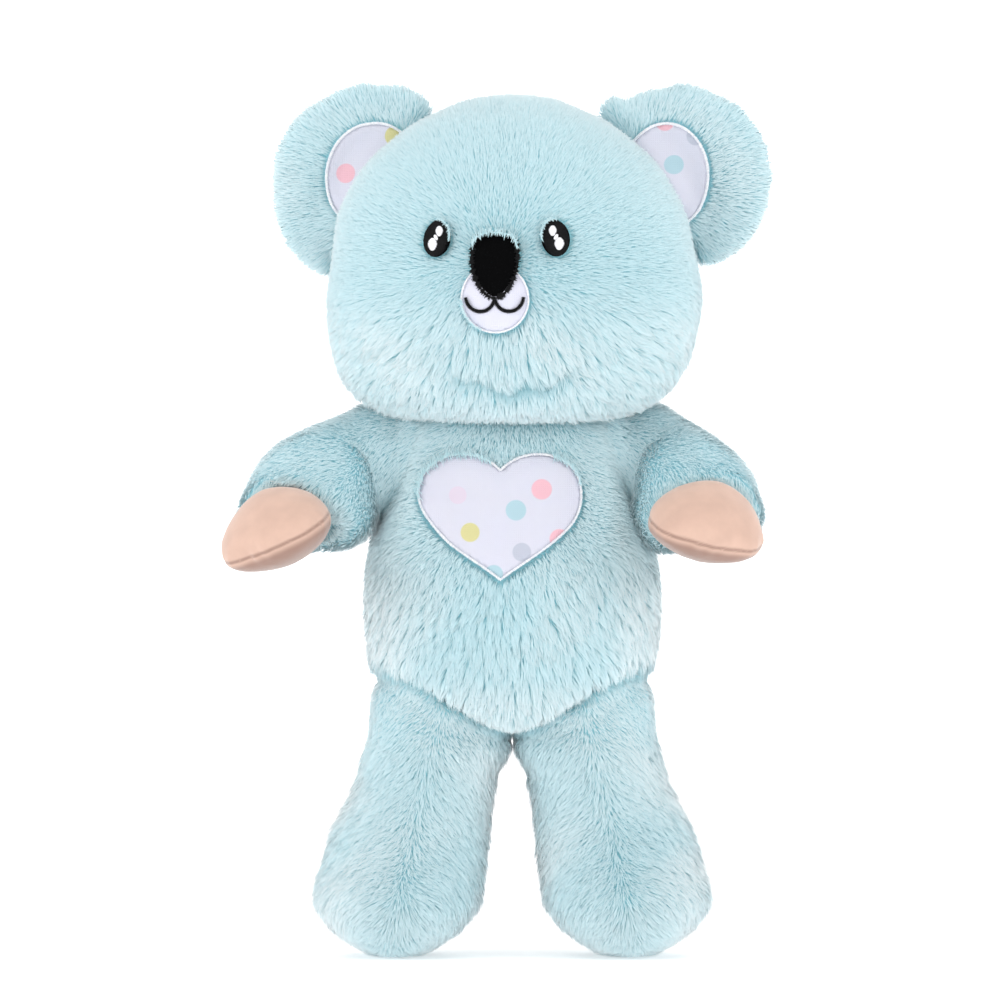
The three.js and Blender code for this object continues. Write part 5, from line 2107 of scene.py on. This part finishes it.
    def sew_eye(self, side: Side) -> bpy.types.Object:
        """Sews an eye and its two joined glints.

        Args:
            side: which eye.

        Returns:
            The padded oval under the stitches.
        """
        shop, place, s = self.shop, ANCHORS.head, side.value
        width, height = self.eye_half
        x, z = s * self.eye_out, self.eye_height
        eye = Patch(
            f"eye_pad_{side.word}", oval(x, z, width, height, s * self.eye_lean), place, self.surface,
            lift=3.3 * MM, crown=1.0 * MM, grain=1.3 * MM,
        )
        pad = eye.build(shop.black_plush)
        finish_piece(pad, "head")
        threads = eye.fill(x, z, width, height, s * self.eye_lean, 0.9 * MM)
        shop.stitch(
            f"eye_satin_stitch_{side.word}", "head", Slot.BLACK_THREAD, [threads], 0.75 * MM, 0.06,
            [f"eye_{side.word}"],
        )

        def inner_top(u: float, v: float) -> bool:
            return -0.75 * s * (u - x) / width + 0.65 * (v - z) / height > 0.62

        strands = eye.fringe(inner_top, s * 35, 2.4 * MM, 1.7 * MM, 92 + s)
        shop.overhang(f"pile_over_eye_{side.word}", "head", strands)
        upper = eye.fill(x - s * 1.4 * MM, z + 2.9 * MM, 1.6 * MM, 2.1 * MM, 0, 1.35 * MM, 0.4 * MM)
        tail = eye.fill(x, z + 0.3 * MM, 0.7 * MM, 1.2 * MM, -s * 30, 1.3 * MM, 0.35 * MM)
        lower = eye.fill(x + s * 1.4 * MM, z - 2.6 * MM, 2.0 * MM, 2.6 * MM, 0, 1.35 * MM, 0.4 * MM)
        for name, rows in (("upper", [upper, tail]), ("lower", [lower])):
            shop.stitch(
                f"eye_glint_{name}_stitch_{side.word}", "head", Slot.WHITE_THREAD, rows, 0.6 * MM, 0.08,
                [f"eye_glint_{name}_{side.word}"],
            )
        return pad

    def grow(self, others: Sequence[Surface]) -> None:
        """Grows the pile: away from the nose over the face, and down at the sides and back.

        Args:
            others: the skins that lie against the head.
        """
        mesh = self.piece.data
        points, normals = points_of(mesh), normals_of(mesh)
        turn = np.array(ANCHORS.head.to_3x3())
        local, flat = ANCHORS.to_head(points), normals @ turn
        nose = np.array((0, -64, 58)) * MM
        away = unit(local - nose)
        down = np.tile((0.0, 0.0, -1.0), (len(points), 1))
        ahead = smooth(local[:, 1], 30 * MM, -30 * MM)[:, None]
        high = smooth(local[:, 2], 60 * MM, 95 * MM)[:, None]
        lay = away * np.maximum(ahead, high) + down * (1 - np.maximum(ahead, high)) * 0.9
        lay[:, 2] -= 0.25 * smooth(local[:, 2], 70 * MM, 30 * MM)
        from_nose = smooth(np.linalg.norm(local - nose, axis=1), 14 * MM, 50 * MM)
        low = smooth(local[:, 2], 55 * MM, 25 * MM)
        rim = smooth(local[:, 2], 14 * MM, 2 * MM)
        # Painted shade: in the creases against the neck and the ears, in the gather under the chin, and
        # thinly over the whole head, less at its top.
        deep = np.maximum(creased(points, others, 4 * MM, 0.5), 0.75 * self.pucker(local))
        give_all(
            mesh,
            lay=laid(lay, flat) @ turn.T,
            pile=0.5 + 0.2 * from_nose + 0.3 * low - 0.2 * rim,
            lean=0.72 + 0.18 * low,
            deep=np.maximum(deep, 0.16 - 0.08 * high[:, 0]),
            tufty=0.15 + 0.85 * low,
            frost=np.maximum(frosted(points, 0.9), 0.55) * low,
        )
        grow = clear_of(points, others)
        front, left = flat[:, 1] < 0.05, local[:, 0] > 0
        parts = {
            "front_left": front & left,
            "front_right": front & ~left,
            "back_left": ~front & left,
            "back_right": ~front & ~left,
        }
        for seed, (part, share) in enumerate(parts.items(), 61):
            give(mesh, f"grow {part}", grow * share)
            self.shop.grow_pile(
                self.piece, f"head_pile_{part}", "head", seed, Mask=f"grow {part}",
                Patches=self.covers, Over_patches=1.8 * MM,
            )
        bpy.data.objects.remove(self.covers)
        self.shop.back(self.piece)
        finish_piece(self.piece, "head", self.form.nodes)


def joined_cover(name: str, pieces: Sequence[bpy.types.Object]) -> bpy.types.Object:
    """A copy of several patches as one mesh, for the pile to grow round.

    Args:
        name: the copy's name.
        pieces: the patches.

    Returns:
        The copy, which its user removes.
    """
    shape = bmesh.new()
    for piece in pieces:
        shape.from_mesh(piece.data)
    mesh = bpy.data.meshes.new(name)
    shape.to_mesh(mesh)
    shape.free()
    return linked(name, mesh)


@dataclass
class Ear:
    """A stuffed round ear with its dotted lining. Sizes are from the neck ball's centre."""

    shop: Workshop
    side: Side
    lining_out: float = 69.5 * MM
    lining_height: float = 99 * MM
    lining_half: tuple[float, float] = (21 * MM, 23 * MM)
    root_out: float = 50 * MM
    rim_out: float = 95 * MM  # beyond this no lining is looked for
    spread: float = 1.0  # how wide the part outside the lining's middle is
    lobe: float = 0.0  # how far the lobe hangs lower
    dots: tuple[Dot, ...] = ()

    def skin(self) -> bpy.types.Object:
        """Makes the stuffed skin."""
        word = self.side.word
        self.form = StuffedForm(
            f"ear_skin_{word}", (f"ear_{word}",),
            extra=(f"ear_lining_{word}",), inset=1.4 * MM, voxel=2.8 * MM, evening=8, swell=1.5 * MM,
        )
        self.piece = self.form.build()
        self.shape_ear()
        self.surface = Surface(self.piece.data)
        return self.piece

    def shape_ear(self) -> None:
        """Widens the top of the ear over the head, and lets down its lobe."""
        local = ANCHORS.to_head(points_of(self.piece.data))
        out = self.side.value * local[:, 0] - self.lining_out
        up = local[:, 2] - self.lining_height
        high = smooth(up, 0, 25 * MM)
        inward = np.minimum(out + 2 * MM, 0)
        outward = np.maximum(out, 0)
        local[:, 0] += self.side.value * (0.3 * inward * high + (self.spread - 1) * outward)
        rise = 4 * MM * smooth(out, 22 * MM, 0) + 4 * MM * smooth(out, 0, -12 * MM)
        local[:, 2] += high * (rise - 12 * MM * smooth(out, -18 * MM, -30 * MM))
        local[:, 2] -= self.lobe * smooth(up, 5 * MM, -25 * MM)
        move_points(self.piece.data, ANCHORS.from_head(local) + 1 * MM * normals_of(self.piece.data))

    def sew_lining(self, head: Surface) -> None:
        """Sews the lining on the ear's hollow, as far as the head leaves it free.

        Args:
            head: the head's skin.
        """
        word, s = self.side.word, self.side.value
        outline = oval(s * self.lining_out, self.lining_height, *self.lining_half)
        patch = Patch(
            f"ear_lining_cloth_{word}", outline, ANCHORS.head, self.surface, lift=3.0 * MM, crown=-0.6 * MM,
            grain=2 * MM,
        )
        patch.outline = self.free_part(patch, head)
        middle = ANCHORS.head @ Matrix.Translation((s * self.lining_out, 0, self.lining_height))
        cotton = Cotton(f"dotted cotton lining {word}", middle, self.dots).material()
        self.cloth = patch.build(cotton)
        finish_piece(self.cloth, f"ear_{word}", [f"ear_lining_{word}"])
        row = patch.border(0.75 * MM, 0.48 * MM, 0.3 * MM)
        self.shop.stitch(
            f"ear_satin_stitch_{word}", f"ear_{word}", Slot.WHITE_THREAD, [row], 0.55 * MM, 0.15,
            [f"ear_lining_stitching_{word}"],
        )

    def free_part(self, patch: Patch, head: Surface) -> Outline:
        """The lining's outline, cut back where the head or the edge of the ear is.

        Args:
            patch: the whole lining.
            head: the head's skin.

        Returns:
            The outline that is left.
        """
        s = self.side.value
        free = []
        for u, v in walked(patch.outline, 1 * MM):
            while s * u < self.rim_out:
                try:
                    spot = patch.surface.at(patch.place, u, v, patch.lift)[0]
                except ValueError:
                    u += s * 0.5 * MM
                    continue
                if head.height(np.array([spot]))[0] > -0.8 * MM:
                    break
                u += s * 0.5 * MM
            free.append((u, v))
        return free

    def grow(self, others: Sequence[Surface]) -> None:
        """Grows the pile: outwards from the ear's root, over the rim.

        Args:
            others: the skins that lie against the ear.
        """
        word, s = self.side.word, self.side.value
        mesh = self.piece.data
        points, normals = points_of(mesh), normals_of(mesh)
        turn = np.array(ANCHORS.head.to_3x3())
        local, flat = ANCHORS.to_head(points), normals @ turn
        root = np.array((s * self.root_out, 14 * MM, self.lining_height - 6 * MM))
        away = local - root
        away[:, 1] = 0
        lay = unit(away)
        lay[:, 1] += 0.25
        # The pile gets painted shade in its crease against the head.
        give_all(
            mesh,
            lay=laid(lay, flat) @ turn.T,
            pile=0.75,
            lean=0.65,
            tufty=0.2,
            frost=frosted(points, 0.4),
            deep=creased(points, others, 4 * MM, 0.5),
            grow=clear_of(points, others, ends=(0.0, 2.5 * MM)),
        )
        self.shop.grow_pile(self.piece, f"ear_pile_{word}", f"ear_{word}", 71 + s, Patches=self.cloth)
        self.shop.back(self.piece)
        finish_piece(self.piece, f"ear_{word}", self.form.nodes)


@dataclass
class Studio:
    """A pale floor, soft light from above and in front, and the camera."""

    width: float = 0.436  # what the picture's width shows, at the doll
    distance: float = 3.0
    bend: float = 4.2  # where the floor turns up into the backdrop, beyond a camera behind the doll
    aim: tuple[float, float] = (-1.5 * MM, 198.4 * MM)
    paper_glow: float = 0.38  # the paper gives off a little light, so that it comes out white
    sky_light: float = 0.68

    def build(self) -> None:
        """Sets up the floor, the lights, the world and the camera."""
        bend = [(math.sin(a), 1 - math.cos(a)) for a in np.linspace(0, math.pi / 2, 17)]
        profile = [(-8.0, 0.0), *((self.bend + y, z) for y, z in bend), (self.bend + 1, 8.0)]
        rows = [[(x, y, z) for x in (-8, 8)] for y, z in profile]
        faces = [(2 * i, 2 * i + 1, 2 * i + 3, 2 * i + 2) for i in range(len(rows) - 1)]
        mesh = bpy.data.meshes.new("studio_floor")
        mesh.from_pydata([spot for row in rows for spot in row], [], faces)
        shade_smooth(mesh)
        floor = linked("studio_floor", mesh)
        paper, graph = new_material("matt white paper")
        graph.shade({
            "Base Color": linear("#f7f8f9"),
            "Roughness": 0.95,
            "Specular IOR Level": 0.1,
            "Emission Color": (1, 1, 1, 1),
            "Emission Strength": self.paper_glow,
        })
        mesh.materials.append(paper)
        world = bpy.data.worlds.new("white studio")
        world.use_nodes = True
        sky = {"Color": (1, 1, 1, 1), "Strength": self.sky_light}
        set_inputs(world.node_tree, world.node_tree.nodes["Background"], sky)
        scene = bpy.context.scene
        scene.world = world
        scene.view_settings.view_transform = "Standard"
        self.lamp("key softbox", (-1.5, -0.7, 0.9), 1.2, 9.0)
        self.lamp("fill softbox", (1.5, -0.7, 0.8), 1.2, 8.0)
        self.lamp("front softbox", (0.0, -2.3, 0.5), 1.4, 2.6)
        self.lamp("top softbox", (0.0, -0.3, 1.9), 1.4, 5.0)
        self.lamp("backdrop softbox", (0.0, 3.7, 2.4), 1.5, 30.0, Vector((0, 6, 1)))
        data = bpy.data.cameras.new("camera")
        data.lens = data.sensor_width * self.distance / self.width
        camera = bpy.data.objects.new("camera", data)
        scene.collection.objects.link(camera)
        x, z = self.aim
        camera.location = (x, ANCHORS.middle.y - self.distance, z)
        camera.rotation_euler = (math.pi / 2, 0, 0)
        data.clip_end = 50
        scene.camera = camera

    @staticmethod
    def lamp(
        name: str,
        place: tuple[float, float, float],
        size: float,
        power: float,
        target: Vector = Vector((0, 0, 0.2)),
    ) -> None:
        """Adds a square soft light.

        Args:
            name: its name.
            place: where it stands.
            size: the length of its side.
            power: its power in watts.
            target: what it points at, which is the doll if nothing is given.
        """
        data = bpy.data.lights.new(name, "AREA")
        data.size, data.energy = size, power
        light = bpy.data.objects.new(name, data)
        bpy.context.scene.collection.objects.link(light)
        light.location = place
        light.rotation_euler = (target - Vector(place)).to_track_quat("-Z", "Y").to_euler()


def main() -> None:
    """Builds the doll, one sub-assembly after another, and sets it in the studio."""
    logging.basicConfig(level=logging.INFO, format="%(name)s: %(message)s")
    Studio().build()
    shop = Workshop()
    torso, neck, head = Torso(shop), Neck(shop), Head(shop)
    legs = [Leg(shop, side) for side in Side]
    arms = [
        Arm(shop, Side.LEFT, drawn_in=4 * MM, hand_aside=-4 * MM, wide_cuff=3 * MM),
        Arm(
            shop, Side.RIGHT, cuff=(42, 32, 19), tip=(54, 76, 37), roll=21, fuller=(9 * MM, 8 * MM),
            wide_cuff=4 * MM,
        ),
    ]
    ears = [
        Ear(
            shop, Side.LEFT, lining_out=67.5 * MM, lining_half=(18 * MM, 22.5 * MM), spread=0.93,
            dots=(
                Dot(3, 4.5, 4.2, "#b1cfda"),
                Dot(12.5, 17, 4.1, "#bfc3d2"),
                Dot(-1, 23.5, 4.2, "#ecb9c5"),
            ),
        ),
        Ear(
            shop, Side.RIGHT, lining_out=61.5 * MM, lobe=6 * MM,
            dots=(Dot(-12.3, 1.5, 4.3, "#ecb9c5"), Dot(9.3, 17.7, 4.3, "#d6d096")),
        ),
    ]
    for part in (torso, neck, head, *legs, *arms, *ears):
        part.skin()
        LOG.info("%s: %d faces", part.piece.name, len(part.piece.data.polygons))
    torso.sew_heart()
    head.face()
    for arm in arms:
        arm.hand()
    for ear in ears:
        ear.sew_lining(head.surface)
    above = [neck.surface, head.surface]
    torso.grow(above, [arm.surface for arm in arms], [leg.surface for leg in legs])
    neck.grow()
    head.grow([neck.surface, *(e.surface for e in ears)])
    for leg in legs:
        leg.grow([torso.surface])
    for arm in arms:
        arm.grow([torso.surface, head.surface])
    for ear in ears:
        ear.grow([head.surface])


if __name__ == "__main__":
    main()
